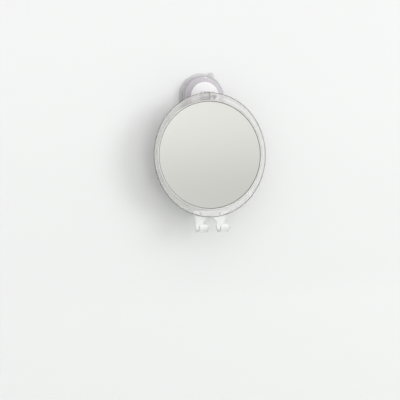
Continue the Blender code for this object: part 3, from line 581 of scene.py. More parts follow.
crown_points = []
for turn in spread(0, math.pi, CROWN_STEPS):
    share = 0.5 - 0.5 * math.cos(turn)
    rise = 1 - abs(2 * share - 1) ** 4
    crown_points.append((OPENING_RADIUS, share, 0, LIP_OUT + INNER_EDGE + (CROWN - INNER_EDGE) * rise))
ring_corners = [
    (OPENING_RADIUS, 1, 0, LIP_OUT + 0.0001),
    (OPENING_RADIUS, 1, SKIRT_INSET, SKIRT_OUT),
    (OPENING_RADIUS, 1, SKIRT_INSET + SKIRT_WALL, SKIRT_OUT),
    (OPENING_RADIUS, 1, SKIRT_WALL, LIP_OUT),
    *turned((RIB_OUTER, LIP_OUT), (RIB_OUTER, SKIRT_OUT), (RIB_INNER, SKIRT_OUT), (RIB_INNER, LIP_OUT)),
    *turned((OPENING_RADIUS, LIP_OUT)),
]
ring_section = softened(crown_points + ring_corners, 0.00035, keep=range(1, CROWN_STEPS))
front_ring = round_form("ring", ring_section, CLEAR_RING, steps=256, drop=HEAD_DROP)

# %% [markdown]
# ## Cutting and joining
# Notches, holes and lugs are cut or joined with Booleans, as they were in the CAD model, but with rounder
# tools. A tool is used once and removed.


# %% Tools for notches, holes and lugs
def block(low, high):
    form = bmesh.new()
    middle = (Vector(high) + Vector(low)) / 2
    size = Vector(high) - Vector(low)
    bmesh.ops.create_cube(form, size=1, matrix=Matrix.Translation(middle) @ Matrix.Diagonal((*size, 1)))
    return from_form("block", form)


def rod(start, end, radius, steps=48, name="rod"):
    start, end = Vector(start), Vector(end)
    form = bmesh.new()
    turn = (end - start).to_track_quat("Z", "Y").to_matrix().to_4x4()
    where = Matrix.Translation((start + end) / 2) @ turn
    size = {"radius1": radius, "radius2": radius, "depth": (end - start).length}
    bmesh.ops.create_cone(form, cap_ends=True, segments=steps, matrix=where, **size)
    return from_form(name, form)


def change(thing, operation, *tools):
    """Cuts, joins or keeps with each tool in turn, then removes the tools."""
    for tool in tools:
        step = thing.modifiers.new(operation, "BOOLEAN")
        step.operation = operation
        step.solver = "EXACT"
        step.object = tool
    finish = thing.data.materials[0] if thing.data.materials else None
    settle(thing)
    for tool in tools:
        bpy.data.objects.remove(tool)
    return painted(thing, finish) if finish else thing


print("made block, rod and change")

# %% Gaps and pegs of the ring
HINGE_LEFT = -0.0091
HINGE_RIGHT = 0.0099
HINGE_TOP_Z = 0.0093
BEHIND_RING = 0.026
SLIT = 0.0003
TONGUE_HALF_WIDTH = 0.02195
TONGUE_SLOT_TOP_Z = -0.13395
BELOW_RING_Z = -0.1453
PEG_X = 0.012
PEG_Z = -0.1371
PEG_RADIUS = 0.0012
PEG_ROOT_OUT = 0.0345
slot_half = TONGUE_HALF_WIDTH + SLIT
change(
    front_ring,
    "DIFFERENCE",
    block((HINGE_LEFT, -LIP_OUT, -0.0039), (HINGE_RIGHT, -BEHIND_RING, HINGE_TOP_Z)),
    block((-slot_half, -LIP_OUT, BELOW_RING_Z), (slot_half, -BEHIND_RING, TONGUE_SLOT_TOP_Z)),
)
pegs = [rod((x, -PEG_ROOT_OUT, PEG_Z), (x, -SKIRT_OUT, PEG_Z), PEG_RADIUS) for x in (-PEG_X, PEG_X)]
change(front_ring, "UNION", *pegs)
stand_in(front_ring, "front_ring", "mirror_head")

# %% [markdown]
# ## The rear shell
# A shallow dish closes the head from behind. Its floor is flat and round, and its wall curves up to the oval
# rim under the ring's skirt, so here too the section goes from a circle to an oval. A round rib inside
# carries the mirror on a soft ring. The pivot's moving knuckle stands in a notch at the top.

# %% Section of the shell
SHELL_RIM_OUT = 0.0309
SHELL_BACK_OUT = 0.0245
SHELL_WALL = 0.0018
SHELL_FLAT_RADIUS = 0.05207
SHELL_RIB_OUTER = 0.0615
SHELL_RIB_INNER = 0.0595
SHELL_RIB_OUT = 0.0303
FLOOR_STEPS = 6
ARC_STEPS = 20

depth = SHELL_RIM_OUT - SHELL_BACK_OUT
inner_depth = depth - SHELL_WALL
inner_inset = SKIRT_INSET + SHELL_WALL
reach = HEAD_HALF_WIDTH - inner_inset - SHELL_FLAT_RADIUS
rib_turn = math.asin((SHELL_RIB_OUTER - SHELL_FLAT_RADIUS) / reach)
foot_turn = math.asin((SHELL_RIB_INNER - SHELL_FLAT_RADIUS) / reach)


def inner_out(turn):
    return SHELL_RIM_OUT - inner_depth * math.cos(turn)


shell_section = turned((0.0, SHELL_BACK_OUT + SHELL_WALL), (SHELL_FLAT_RADIUS, SHELL_BACK_OUT + SHELL_WALL))
for turn in spread(0, foot_turn, FLOOR_STEPS)[1:]:
    shell_section.append((SHELL_FLAT_RADIUS + reach * math.sin(turn), 0, 0, inner_out(turn)))
rib_start = len(shell_section)
shell_section += turned((SHELL_RIB_INNER, SHELL_RIB_OUT), (SHELL_RIB_OUTER, SHELL_RIB_OUT))
shell_section += turned((SHELL_RIB_OUTER, inner_out(rib_turn)))
rib_end = len(shell_section)
for turn in spread(rib_turn, math.pi / 2, ARC_STEPS)[1:]:
    shell_section.append((SHELL_FLAT_RADIUS, math.sin(turn), inner_inset, inner_out(turn)))
for turn in spread(math.pi / 2, 0, ARC_STEPS):
    outer_out = SHELL_RIM_OUT - depth * math.cos(turn)
    shell_section.append((SHELL_FLAT_RADIUS, math.sin(turn), SKIRT_INSET, outer_out))
shell_section.append((0.0, 0, 0, SHELL_BACK_OUT))
rim = rib_end + ARC_STEPS
sharp_places = {rib_start - 1, rib_start, rib_start + 1, rib_end - 1, rim - 1, rim}
smooth_places = set(range(len(shell_section))) - sharp_places
shell_section = softened(shell_section, 0.0003, steps=3, closed=False, keep=smooth_places)
CLEAR_HEAD = clear_plastic("clear_head", **POLISHED, see_through=0.5, body=0.2, edge=0.75)
rear_shell = round_form("shell", shell_section, CLEAR_HEAD, closed=False, steps=256, drop=HEAD_DROP)

# %% Notch and knuckle of the shell
PIVOT_OUT = 0.0265
KNUCKLE_RADIUS = 0.0053
SHELL_KNUCKLE = (0.0007, 0.0065)
SHELL_WEB = ((0.001, -0.03, -0.0095), (0.0062, -0.0254, 0))
SHELL_SCREW_HOLE = (-0.004, 0.0105)
SCREW_HOLE_RADIUS = 0.0018
NOTCH_FOOT_Z = -0.0058
NOTCH_OUT = (0.0205, 0.0349)


def pivot_rod(left, right, radius, steps=72):
    """A round bar or hole along the tilt pivot."""
    return rod((left, -PIVOT_OUT, 0), (right, -PIVOT_OUT, 0), radius, steps=steps)


notch = block((HINGE_LEFT, -NOTCH_OUT[1], NOTCH_FOOT_Z), (HINGE_RIGHT, -NOTCH_OUT[0], HINGE_TOP_Z))
change(rear_shell, "DIFFERENCE", notch)
change(rear_shell, "UNION", pivot_rod(*SHELL_KNUCKLE, KNUCKLE_RADIUS), block(*SHELL_WEB))
change(rear_shell, "DIFFERENCE", pivot_rod(*SHELL_SCREW_HOLE, SCREW_HOLE_RADIUS, steps=48))
stand_in(rear_shell, "rear_shell", "mirror_head")

# %% [markdown]
# ## The holder
# One clear plate hangs on the ring's two pegs and is bent forward to a hook. It could be bent from a strip
# along a curve, but its outline changes on the way. So its side view, a J, and its front view, a plate with
# a flared tongue, are given depth across each other, and only what lies in both is kept. The arched notch
# then parts the hook in two prongs. The edges are eased last, because light caught on an eased edge is what
# shows a clear plate.

# %% Plastic of the holder
NOTCH_HALF = 0.0074
ARCH_HEIGHT = -0.1485
ARCH_RISE = 0.0065
ARCH_SHADE_LINE = (1.03, 1.08)
HOLDER_HALF_WIDTH = 0.01855
SIDE_SHADE_LINE = ((HOLDER_HALF_WIDTH - 0.0006) ** 2, (HOLDER_HALF_WIDTH - 0.0003) ** 2)
FLARE_START = (-0.1452, -0.1444)


def holder_edge_shade(tree, spot):
    """Painted shade along the cut edges of the plate: its two straight sides and the arch."""
    across, _, up = tree.parts_of(spot)
    side = (across**2).rising(*SIDE_SHADE_LINE)
    straight = 1 - up.rising(*FLARE_START)
    rise = up.math("MAXIMUM", up - ARCH_HEIGHT, 0.0)
    arch = 0.9 - distance(across / NOTCH_HALF, rise / ARCH_RISE).rising(*ARCH_SHADE_LINE) * 0.9
    return (side * straight * 0.7, (0.52, 0.54, 0.54)), (arch, (0.50, 0.58, 0.58))


look = {"light": (0.985, 0.99, 0.985), "deep": (0.96, 0.975, 0.97), "roughness": 0.02}
CLEAR_HOLDER = clear_plastic("clear_holder", **look, see_through=0.3, body=0.6, edge=0.88, marks=holder_edge_shade)

# %% Outlines of the holder
PLATE_BACK = 0.0312
PLATE_FRONT = 0.0335
HOOK_OUT = 0.03995
HOOK_TOP_Z = -0.1498
HOOK_INNER = 0.00645
HOOK_OUTER = 0.00875
TIP_Z = HOOK_TOP_Z + 0.0005
TONGUE_TOP_Z = -0.1341
TONGUE_CORNER = 0.0015
FLARE = 0.0034
FLARE_Z = -0.142
FOOT_Z = -0.1626
SPARE = 0.004


def arc(middle, across, up, first, last, steps):
    """Points along part of an ellipse."""
    turns = spread(first, last, steps)
    return [(middle[0] + across * math.cos(turn), middle[1] + up * math.sin(turn)) for turn in turns]


side_view = [(PLATE_BACK, TONGUE_TOP_Z + SPARE), (PLATE_FRONT, TONGUE_TOP_Z + SPARE)]
side_view += arc((HOOK_OUT, HOOK_TOP_Z), HOOK_INNER, HOOK_INNER, -math.pi, 0, 40)
side_view += [(HOOK_OUT + HOOK_INNER, TIP_Z), (HOOK_OUT + HOOK_OUTER, TIP_Z)]
side_view += arc((HOOK_OUT, HOOK_TOP_Z), HOOK_OUTER, HOOK_OUTER, 0, -math.pi, 40)
corner_middle = (TONGUE_HALF_WIDTH - TONGUE_CORNER, TONGUE_TOP_Z - TONGUE_CORNER)
right_side = [
    *arc(corner_middle, TONGUE_CORNER, TONGUE_CORNER, math.pi / 2, 0, 8),
    *arc((TONGUE_HALF_WIDTH, FLARE_Z), FLARE, FLARE, math.pi / 2, math.pi, 14),
    (HOLDER_HALF_WIDTH, FOOT_Z),
]
front_view = right_side + [(-across, up) for across, up in reversed(right_side)]
notch = [(-NOTCH_HALF, FOOT_Z), (NOTCH_HALF, FOOT_Z)]
notch += arc((0, ARCH_HEIGHT), NOTCH_HALF, ARCH_RISE, 0, math.pi, 40)
print("outlines of", len(side_view), len(front_view), "and", len(notch), "points")


# %% Outlines with depth
def filled(name, outline, low, high, from_side=False):
    """A filled outline with depth, from (x, z) points, or from (out, z) points where it is a side view."""
    guide = point_curve(name, [(across, up, 0) for across, up in outline])
    guide.data.dimensions = "2D"
    guide.data.fill_mode = "BOTH"
    guide.data.extrude = (high - low) / 2
    guide.data.splines[0].use_cyclic_u = True
    form = bmesh.new()
    form.from_mesh(bpy.data.meshes.new_from_object(guide))
    bpy.data.objects.remove(guide)
    bmesh.ops.remove_doubles(form, verts=form.verts, dist=WELD)
    where = Matrix.Rotation(math.pi / 2, 4, "X")
    middle = (low + high) / 2
    if from_side:
        where = Matrix.Translation((middle, 0, 0)) @ Matrix.Rotation(-math.pi / 2, 4, "Z") @ where
    else:
        where = Matrix.Translation((0, -middle, 0)) @ where
    bmesh.ops.transform(form, matrix=where, verts=form.verts)
    return from_form(name, form)


def eased(thing, width):
    """A finished form with its sharp edges rounded."""
    bevel = thing.modifiers.new("Eased edges", "BEVEL")
    bevel.width = width
    bevel.segments = 3
    bevel.limit_method = "ANGLE"
    bevel.angle_limit = math.radians(35)
    return settle(thing)


print("made filled and eased")

# %% Holder
FORM_HALF_WIDTH = 0.0223
FORM_BACK = 0.0272
FORM_FRONT = 0.0527
PRONG_CORNER = 0.0025
PEG_HOLE_RADIUS = 0.0015
PEG_HOLE_OUT = 0.0375


def prong_corner(edge, other):
    """A tool that rounds one upper corner of a prong, at the side `edge`."""
    toward = math.copysign(1, other - edge)
    middle = (edge + toward * PRONG_CORNER, TIP_Z - PRONG_CORNER)
    outside = edge - toward * SPARE
    outline = [(middle[0], TIP_Z + SPARE), (outside, TIP_Z + SPARE), (outside, middle[1])]
    outline += arc(middle, PRONG_CORNER, PRONG_CORNER, math.pi if toward > 0 else 0, math.pi / 2, 12)
    return filled("corner", outline, HOOK_OUT, FORM_FRONT)


holder = filled("holder", side_view, -FORM_HALF_WIDTH, FORM_HALF_WIDTH, from_side=True)
change(holder, "INTERSECT", filled("front_view", front_view, FORM_BACK, FORM_FRONT))
change(holder, "DIFFERENCE", filled("notch", notch, FORM_BACK, FORM_FRONT))
corners = []
for inner, outer in ((-NOTCH_HALF, -HOLDER_HALF_WIDTH), (NOTCH_HALF, HOLDER_HALF_WIDTH)):
    corners += [prong_corner(inner, outer), prong_corner(outer, inner)]
holes = [rod((x, -FORM_BACK, PEG_Z), (x, -PEG_HOLE_OUT, PEG_Z), PEG_HOLE_RADIUS) for x in (-PEG_X, PEG_X)]
change(holder, "DIFFERENCE", *corners, *holes)
face_out(holder)
eased(holder, 0.0004)
painted(holder, CLEAR_HOLDER)
stand_in(holder, "razor_holder", "mirror_head")

# %% [markdown]
# ## The suction cup
# Soft clear vinyl, glossy from its mould, with a flat lip on the wall and a round pull tab. Its section
# shows the thin lip and the drawn-up centre at once, so it is a round form, and the tab is joined on. The
# cup crosses the sliding joint: its lip stays on the wall while its centre moves with the post. Here its
# mesh is only baked in place and moves with neither body.

# %% Plastic of the cup
TAB_TURN = math.radians(66)
TAB_REACH = 0.0283
TAB_X = TAB_REACH * math.cos(TAB_TURN)
TAB_Z = TAB_REACH * math.sin(TAB_TURN)
TAB_HIGHLIGHT_EDGE = (0.0036, 0.0042)


def tab_painted_highlight(tree, spot):
    """A painted highlight makes the round tab whiter than the thin lip."""
    across, _, up = tree.parts_of(spot)
    return ((1 - distance(across - TAB_X, up - TAB_Z).rising(*TAB_HIGHLIGHT_EDGE), (0.99, 0.99, 0.99)),)


look = {"light": (0.95, 0.93, 0.95), "deep": (0.90, 0.88, 0.91), "roughness": 0.08}
SOFT_CUP = clear_plastic("soft_cup", **look, see_through=0.9, body=0.35, edge=0.85, grain=30, marks=tab_painted_highlight)

# %% Suction cup
TAB_RADIUS = 0.004
TAB_OUT = (0.000225, 0.001325)
boss = [(0.0, 0.0039), (0.0071, 0.0039), (0.0071, 0.0059), (0.0039, 0.0059), (0.0039, 0.0069)]
neck = [(0.0079, 0.0069), (0.0089, 0.0059), (0.0089, 0.0039)]
skirt = [(0.0223, 0.0016), (0.0249, 0.0016), (0.0276, 0.0009), (0.0285, 0.00045)]
underside = [(0.02805, 0.0), (0.0223, 0.0), (0.0089, 0.0025), (0.0, 0.0025)]
cup_section = softened(turned(*boss, *neck, *skirt, *underside), 0.0005, closed=False, keep=(8, 12, 13))
suction_cup = round_form("cup", cup_section, SOFT_CUP, closed=False)
tab = rod((TAB_X, -TAB_OUT[0], TAB_Z), (TAB_X, -TAB_OUT[1], TAB_Z), TAB_RADIUS, steps=72)
change(suction_cup, "UNION", tab)
smooth(suction_cup)
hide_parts("suction_cup")
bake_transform(suction_cup)

# %% [markdown]
# ## The housing
# A rigid cap presses the cup's rim down and guides the post in a bore with two flats. Twelve radial ribs
# stiffen it from inside. They repeat in a ring, so a node tree sets one rib on the points of a circle.
# Copies in a Python loop would do as well, but the tree keeps the count and the sizes as named inputs.

# %% Plastic of the housing
HOUSING_FOOT_SHADE = (-0.0027, -0.0023)


def housing_foot_shade(tree, spot):
    """Painted shade at the foot, where the housing meets the cup."""
    _, depth, _ = tree.parts_of(spot)
    return ((depth.rising(*HOUSING_FOOT_SHADE) * 0.5, (0.40, 0.36, 0.40)),)


look = {"light": (0.95, 0.92, 0.95), "deep": (0.91, 0.88, 0.92), "roughness": 0.12}
MILKY_HOUSING = clear_plastic("milky_housing", **look, see_through=0.5, body=0.42, edge=0.85, marks=housing_foot_shade)


# %% The tree that sets ribs in a ring
def ring_of_ribs_tree():
    inputs = {"Count": 12, "Inner Radius": 0.0095, "Outer Radius": 0.0241, "Thickness": 0.001}
    inputs |= {"Low": 0.0042, "High": 0.00795, "Finish": "Material"}
    tree, given = form_group("ring_of_ribs", inputs)
    inner, outer = given.output("Inner Radius"), given.output("Outer Radius")
    low, high = given.output("Low"), given.output("High")
    size = tree.vector(X=outer - inner, Y=given.output("Thickness"), Z=high - low)
    rib = tree.add("GeometryNodeMeshCube", inputs={"Size": size})
    count = given.output("Count")
    ring = tree.add("GeometryNodeMeshCircle", inputs={"Vertices": count, "Radius": (inner + outer) / 2})
    turn = tree.add("GeometryNodeInputIndex") / count * math.tau
    spokes = {"Points": ring, "Instance": rib, "Rotation": tree.vector(Z=turn)}
    ribs = tree.add("GeometryNodeInstanceOnPoints", inputs=spokes)
    out = tree.vector(Y=(low + high) / -2)
    upright = {"Geometry": ribs, "Translation": out, "Rotation": (math.pi / 2, 0, 0)}
    stood = tree.add("GeometryNodeTransform", inputs=upright)
    return ended(tree, dressed(tree, stood, given.output("Finish")))


RING_OF_RIBS = ring_of_ribs_tree()

# %% Housing
BORE_RADIUS = 0.0039
BORE_HALF_WIDTH = 0.0031
BORE_OUT = (0.0032, 0.0141)
FLAT_TOOL = 0.01
OVERRUN = 0.001


def keyed_rod(low, high):
    """A bar as thick as the post's bore, with two flats, out from the wall."""
    bar = rod((0, -low, 0), (0, -high, 0), BORE_RADIUS, steps=72)
    front = -high - OVERRUN
    back = OVERRUN - low
    right = block((BORE_HALF_WIDTH, front, -FLAT_TOOL), (FLAT_TOOL, back, FLAT_TOOL))
    left = block((-FLAT_TOOL, front, -FLAT_TOOL), (-BORE_HALF_WIDTH, back, FLAT_TOOL))
    return change(bar, "DIFFERENCE", right, left)


top = [(0.0, 0.0101), (0.0053, 0.0101), (0.0053, 0.0087), (0.0249, 0.0087)]
inside = [(0.0249, 0.0019), (0.0233, 0.0019), (0.0233, 0.0072), (0.0, 0.0072)]
housing_section = softened(turned(*top, *inside), 0.0005, closed=False)
mount_housing = round_form("housing", housing_section, MILKY_HOUSING, closed=False)
ribs = grown(from_form("ribs", bmesh.new()), RING_OF_RIBS, {"Count": 12, "Finish": MILKY_HOUSING})
change(mount_housing, "UNION", ribs)
change(mount_housing, "DIFFERENCE", keyed_rod(*BORE_OUT))
stand_in(mount_housing, "mount_housing", "wall_mount")

# %% [markdown]
# ## The lock dial
# The dial turns on the housing's collar. Two ramps in its well lift the post's cross pin by 2.5 mm in a
# quarter turn, which draws the cup's centre off the wall. Its flank is ribbed for wet fingers. The grooves
# are part of the round form's formula, so they stay one surface with the flank, where cut ones would leave
# 56 seams.

# %% Plastic of the dial
GRIP_GROOVES = 56
DIAL_FLANK = (0.0181, 0.0184)
DIAL_RIM_SHADE = (0.0238, 0.0240)


def dial_painted_shade(tree, spot):
    """Painted shade where less light reaches the bottoms of the grip grooves, and along the rim, seen along
    its plastic.
    """
    across, _, up = tree.parts_of(spot)
    groove = 0.5 - (up.math("ARCTAN2", up, across) * GRIP_GROOVES).cosine() * 0.5
    reach = distance(across, up)
    grooves = groove * reach.rising(*DIAL_FLANK) * 0.6
    return (grooves, (0.60, 0.55, 0.60)), (reach.rising(*DIAL_RIM_SHADE), (0.26, 0.22, 0.26))


look = {"light": (0.97, 0.945, 0.98), "deep": (0.93, 0.905, 0.95), "roughness": 0.1}
MILKY_DIAL = clear_plastic("milky_dial", **look, see_through=0.35, body=0.5, edge=0.9, marks=dial_painted_shade)

# %% Dial with its grooves
FACE_RADIUS = 0.018
BASE_RADIUS = 0.0243
FACE_OUT = 0.0129
BASE_OUT = 0.00955
DIAL_BACK_OUT = 0.0090
WELL_FLOOR_OUT = 0.0101
WELL_RADIUS = 0.0163
DIAL_HOLE_RADIUS = 0.0056
FLANK_STEPS = 8
GROOVE_DEPTH = 0.0005

flank_radii = spread(FACE_RADIUS, BASE_RADIUS, FLANK_STEPS)
flank_outs = spread(FACE_OUT, BASE_OUT, FLANK_STEPS)
cuts = [0.7] + [1.0] * (FLANK_STEPS - 1) + [0.7]
flank = [(radius, 0, 0, out, cut) for radius, out, cut in zip(flank_radii, flank_outs, cuts)]
dial_section = [
    (DIAL_HOLE_RADIUS, 0, 0, WELL_FLOOR_OUT, 0),
    (WELL_RADIUS, 0, 0, WELL_FLOOR_OUT, 0),
    (WELL_RADIUS, 0, 0, FACE_OUT, 0),
    *flank,
    (BASE_RADIUS, 0, 0, DIAL_BACK_OUT, 0.7),
    (DIAL_HOLE_RADIUS, 0, 0, DIAL_BACK_OUT, 0),
]
dial_section = softened(dial_section, 0.0003, keep=range(4, 11))
grip = {"steps": 10 * GRIP_GROOVES, "grooves": GRIP_GROOVES, "groove_depth": GROOVE_DEPTH}
lock_dial = round_form("dial", dial_section, MILKY_DIAL, **grip)

# %% Ramps of the dial
RAMP_RISE = 0.0025
RAMP_STEPS = 24
RAMP_FOOT_OUT = 0.00955
HIGH_STOP_OUT = 0.0142
LOW_STOP_OUT = 0.0117
RAMP_RADII = (0.00566, 0.0088)
STOP_RADII = (0.0059, 0.0085)
LAND = math.radians(16)
HIGH_STOP = (math.radians(12), math.radians(20))
LOW_STOP = (math.radians(-110), math.radians(-102))


def bent_block(inner, outer, profile):
    """A block bent round the dial's axis, whose top may climb: (turn, top) pairs."""
    form = bmesh.new()
    loops = []
    for turn, top in profile:
        across = Vector((math.cos(turn), 0, math.sin(turn)))
        corners = ((inner, RAMP_FOOT_OUT), (outer, RAMP_FOOT_OUT), (outer, top), (inner, top))
        loops.append([form.verts.new(across * radius - Vector((0, out, 0))) for radius, out in corners])
    for first, second in zip(loops, loops[1:]):
        for side in range(4):
            after = (side + 1) % 4
            form.faces.new((first[side], second[side], second[after], first[after]))
    form.faces.new(loops[0])
    form.faces.new(loops[-1])
    return from_form("ramp", form)


tops = spread(WELL_FLOOR_OUT, WELL_FLOOR_OUT + RAMP_RISE, RAMP_STEPS)
ramp_pieces = []
for start in (0, math.pi):
    climb = zip(spread(start - math.pi / 2, start, RAMP_STEPS), tops)
    ramp_pieces.append(bent_block(*RAMP_RADII, [*climb, (start + LAND, tops[-1])]))
    for turns, top in ((HIGH_STOP, HIGH_STOP_OUT), (LOW_STOP, LOW_STOP_OUT)):
        ramp_pieces.append(bent_block(*STOP_RADII, [(start + turn, top) for turn in turns]))
change(lock_dial, "UNION", *ramp_pieces)
stand_in(lock_dial, "lock_dial", "dial")

# %% [markdown]
# ## The dial's cover
# A thin domed disc closes the dial's well, bright and smooth against the ribbed flank. A lip under its edge
# centres it in the well. It could be a slice of a sphere, but the dome is very flat and has a hole for the
# arm, so it is a round form whose two faces follow one curve.

# %% Dial cover
COVER_RADIUS = 0.0174
COVER_HOLE_RADIUS = 0.0059
COVER_FOOT_OUT = 0.0132
COVER_EDGE = 0.0008
COVER_RISE = 0.0028
COVER_WALL = 0.0012
LIP_RADIUS = 0.016
LIP_INNER_RADIUS = 0.0149
LIP_FOOT_OUT = 0.0120
DOME_STEPS = 20
UNDER_STEPS = 8


def cover_top(radius):
    return COVER_FOOT_OUT + COVER_EDGE + COVER_RISE * (1 - (radius / COVER_RADIUS) ** 2)


dome_radii = spread(COVER_HOLE_RADIUS, COVER_RADIUS, DOME_STEPS)
dome = [(radius, cover_top(radius)) for radius in dome_radii[:-1]]
under_radii = spread(LIP_INNER_RADIUS, COVER_HOLE_RADIUS, UNDER_STEPS)
under = [(radius, cover_top(radius) - COVER_WALL) for radius in under_radii]
edge = [(COVER_RADIUS, COVER_FOOT_OUT + COVER_EDGE), (COVER_RADIUS, COVER_FOOT_OUT)]
lip = [(LIP_RADIUS, COVER_FOOT_OUT), (LIP_RADIUS, LIP_FOOT_OUT), (LIP_INNER_RADIUS, LIP_FOOT_OUT)]
look = {"light": (0.97, 0.96, 0.97), "deep": (0.95, 0.94, 0.95), "roughness": 0.06}
BRIGHT_COVER = clear_plastic("bright_cover", **look, see_through=0.15, body=0.9, edge=0.97)
dome_places = {*range(1, DOME_STEPS), *range(DOME_STEPS + 6, DOME_STEPS + 5 + UNDER_STEPS)}
cover_section = softened(turned(*dome, *edge, *lip, *under), 0.0003, keep=dome_places)
dial_cover = round_form("cover", cover_section, BRIGHT_COVER, steps=160)
stand_in(dial_cover, "dial_cover", "dial")

# %% [markdown]
# ## The hinge arm
# A hub pinned on the post carries the fixed knuckle on the left. It is cut away on the right, where the
# head's own knuckle turns beside it, and a hexagon pocket holds the nut. Its forms are plain bars, so they
# are joined and cut as a toolmaker would, and a bevel eases the edges.

# %% Hinge arm
HUB_RADIUS = 0.0053
HUB_OUT = (0.0148, 0.02385)
ARM_KNUCKLE = (-0.0086, -0.0007)
NUT_POCKET = (-0.0126, -0.0061)
NUT_RADIUS = 0.003775
ARM_PIN_OUT = 0.0169
ARM_PIN_RADIUS = 0.0011
ARM_PIN_REACH = 0.0093
ARM_BORE_OUT = (0.0108, 0.0193)
ARM_SCREW_HOLE = (NUT_POCKET[0], 0.004)
ARM_CUT = ((-0.0007, -0.0305, -0.0093), (0.0093, -0.0203, 0.0093))
ARM_WEB = ((-0.0083, -PIVOT_OUT, -0.0037), (-0.001, -0.0193, 0.0037))

hinge_arm = rod((0, -HUB_OUT[0], 0), (0, -HUB_OUT[1], 0), HUB_RADIUS, steps=72, name="arm")
change(hinge_arm, "DIFFERENCE", block(*ARM_CUT))
change(hinge_arm, "UNION", block(*ARM_WEB), pivot_rod(*ARM_KNUCKLE, KNUCKLE_RADIUS))
pin_hole = rod((0, -ARM_PIN_OUT, -ARM_PIN_REACH), (0, -ARM_PIN_OUT, ARM_PIN_REACH), ARM_PIN_RADIUS, steps=32)
screw_hole = pivot_rod(*ARM_SCREW_HOLE, SCREW_HOLE_RADIUS, steps=32)
nut_pocket = pivot_rod(*NUT_POCKET, NUT_RADIUS, steps=6)
change(hinge_arm, "DIFFERENCE", keyed_rod(*ARM_BORE_OUT), pin_hole, screw_hole, nut_pocket)
face_out(hinge_arm)
eased(hinge_arm, 0.00025)
look = {"light": (0.98, 0.965, 0.96), "deep": (0.94, 0.925, 0.92), "roughness": 0.04}
CLEAR_ARM = clear_plastic("clear_arm", **look, see_through=0.5, body=0.45, edge=0.88)
painted(hinge_arm, CLEAR_ARM)
stand_in(hinge_arm, "hinge_arm", "puller")

# %% [markdown]
# ## Pieces that keep their CAD shape
# Post, pins, screw, nut, washers and the mirror's soft ring are small and already right, so they only get a
# finish. Steel carries a fine grain, and rubber is matt with a dusty grain. The meshes are loose
# triangles. They could be remade as round forms, but a short node tree does enough: it welds them and
# smooths what is round.


# %% Steel and rubber
def grainy_finish(name, colour, contrast, scale, detail, roughness, uneven, metal, depth, strength):
    """A plain finish with a fine grain in its colour, its roughness and its surface."""
    made, tree, shader = shader_tree(name)
    grain = tree.noise(tree.spot(), scale, detail)
    colour = tree.blend(grain, colour, [tone * contrast for tone in colour])
    bump = tree.add("ShaderNodeBump", inputs={"Height": grain, "Distance": depth, "Strength": strength})
    roughness = roughness + grain * uneven
    tree.feed(shader, {"Base Color": colour, "Roughness": roughness, "Normal": bump, "Metallic": metal})
    return made


STEEL = {"metal": 1.0, "contrast": 0.85, "scale": 900, "detail": 3}
STEEL |= {"uneven": 0.12, "depth": 0.00003, "strength": 0.4}
RUBBER = {"metal": 0.0, "contrast": 1.3, "scale": 1200, "detail": 4}
RUBBER |= {"uneven": 0.2, "depth": 0.00005, "strength": 0.5}
PIN_STEEL = grainy_finish("pin_steel", (0.62, 0.62, 0.61), roughness=0.22, **STEEL)
SCREW_STEEL = grainy_finish("screw_steel", (0.55, 0.54, 0.53), roughness=0.28, **STEEL)
DARK_RUBBER = grainy_finish("dark_rubber", (0.05, 0.048, 0.05), roughness=0.65, **RUBBER)
GREY_RUBBER = grainy_finish("grey_rubber", (0.16, 0.16, 0.14), roughness=0.65, **RUBBER)


# %% Smooth shading for the CAD pieces
def shading_tree():
    tree, given = form_group("weld_and_smooth", {"Geometry": "Geometry"})
    welded = tree.add("GeometryNodeMergeByDistance", inputs={"Geometry": given, "Distance": WELD / 2})
    round_faces = tree.add("GeometryNodeSetShadeSmooth", {"domain": "FACE"}, {"Geometry": welded})
    fold = tree.add("GeometryNodeInputMeshEdgeAngle")
    gentle = tree.add("FunctionNodeCompare", {"operation": "LESS_THAN"}, {0: fold, 1: math.radians(35)})
    inputs = {"Geometry": round_faces, "Shade Smooth": gentle}
    return ended(tree, tree.add("GeometryNodeSetShadeSmooth", {"domain": "EDGE"}, inputs))


SHADING = shading_tree()
kept_finishes = {
    "cup_post": MILKY_HOUSING,
    "lift_pin": PIN_STEEL,
    "arm_pin": PIN_STEEL,
    "pivot_screw": SCREW_STEEL,
    "pivot_nut": SCREW_STEEL,
    "screw_washer": SCREW_STEEL,
    "friction_washer": DARK_RUBBER,
    "mirror_seal": GREY_RUBBER,
}
for name, finish in kept_finishes.items():
    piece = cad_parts[name]
    for place in piece.material_slots:
        place.material = finish
    piece.modifiers.new("Smooth shading", "NODES").node_group = SHADING
print("kept from the CAD model:", ", ".join(kept_finishes))

# %% [markdown]
# ## Wall and floor
# The mirror hangs on a plain pale wall. It is slightly glossy, so that the head shows faintly in it, and
# clear from behind, or it would hide the object there. The floor is matt and a little darker, so that it
# doesn't glare.

# %% Stage
HALF_ROOM = 2
ROOM_DEPTH = 3
ROOM_TOP = 1.5
FLOOR_Z = -0.6
WALL_Y = 0.0006


def stage_finish(name, colour, roughness, gloss):
    """Plain from its front, and clear from behind."""
    made, tree, shader = shader_tree(name)
    tree.feed(shader, {"Base Color": (*colour, 1), "Roughness": roughness, "IOR": gloss})
    behind = tree.add("ShaderNodeNewGeometry").output("Backfacing")
    clear = tree.add("ShaderNodeBsdfTransparent")
    mixed = tree.add("ShaderNodeMixShader", inputs={0: behind, 1: Wire(tree, shader.outputs[0]), 2: clear})
    tree.feed(made.node_tree.nodes["Material Output"], {"Surface": mixed})
    return made


def sheet(name, corners, finish):
    mesh = bpy.data.meshes.new(name)
    mesh.from_pydata(corners, [], [(0, 1, 2, 3)])
    mesh.materials.append(finish)
    added(name, mesh)


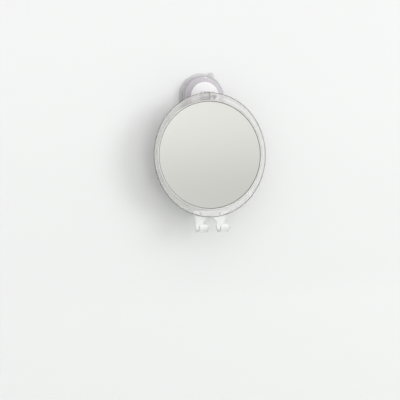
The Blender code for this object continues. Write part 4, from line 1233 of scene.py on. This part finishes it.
foot = [(-HALF_ROOM, WALL_Y, FLOOR_Z), (HALF_ROOM, WALL_Y, FLOOR_Z)]
top = [(HALF_ROOM, WALL_Y, ROOM_TOP), (-HALF_ROOM, WALL_Y, ROOM_TOP)]
near = [(-HALF_ROOM, -ROOM_DEPTH, FLOOR_Z), (HALF_ROOM, -ROOM_DEPTH, FLOOR_Z)]
sheet("wall", foot + top, stage_finish("wall_paint", (0.80, 0.81, 0.805), 0.06, 1.7))
sheet("floor", near + foot[::-1], stage_finish("floor_paint", (0.58, 0.58, 0.57), 0.9, 1.2))
print("wall and floor are", 2 * HALF_ROOM, "m wide")

# %% [markdown]
# ## Light
# One wide soft lamp shines from the right, and a pale room gives the rest. A photographer would hide bright
# lamps from a mirror. Here the lamp is left out of reflections, and the light that the room sheds is kept
# apart from the room that camera, mirror and plastic see. That one is pale and even, so that nothing in it
# turns plain white.

# %% World and lamp
world = bpy.data.worlds.new("pale_room")
world.use_nodes = True
bpy.context.scene.world = world
sky = Tree(world.node_tree)
side, _, height = sky.parts_of(sky.add("ShaderNodeTexCoord").output("Generated"))
room = sky.blend(height.rising(-0.03, 0.07), (0.735, 0.735, 0.73), (0.965, 0.965, 0.96))
room = sky.blend(side.rising(0.18, 0.42) * 0.1, room, (0, 0, 0))
glow = sky.blend(height.rising(0.4, 0.8), (0.97, 0.97, 0.97), (1.45, 1.45, 1.45))
path = sky.add("ShaderNodeLightPath")
seen = path.math("MAXIMUM", path.output("Is Camera Ray"), path.output("Is Glossy Ray"))
seen = path.math("MAXIMUM", seen, path.output("Is Transmission Ray"))
sky.feed(world.node_tree.nodes["Background"], {"Color": sky.blend(seen, glow, room)})

lamp_light = bpy.data.lights.new("key_lamp", "AREA")
lamp_light.size = 2.6
lamp_light.energy = 120
lamp = added("key_lamp", lamp_light)
lamp.location = (4.6, -4.2, 1.1)
lamp.rotation_euler = (Vector((0, 0, -0.07)) - lamp.location).to_track_quat("-Z", "Y").to_euler()
lamp.visible_glossy = False
bpy.context.scene.view_settings.view_transform = "Standard"
print("lamp of", lamp_light.energy, "W is", round(lamp.location.length, 1), "m away")
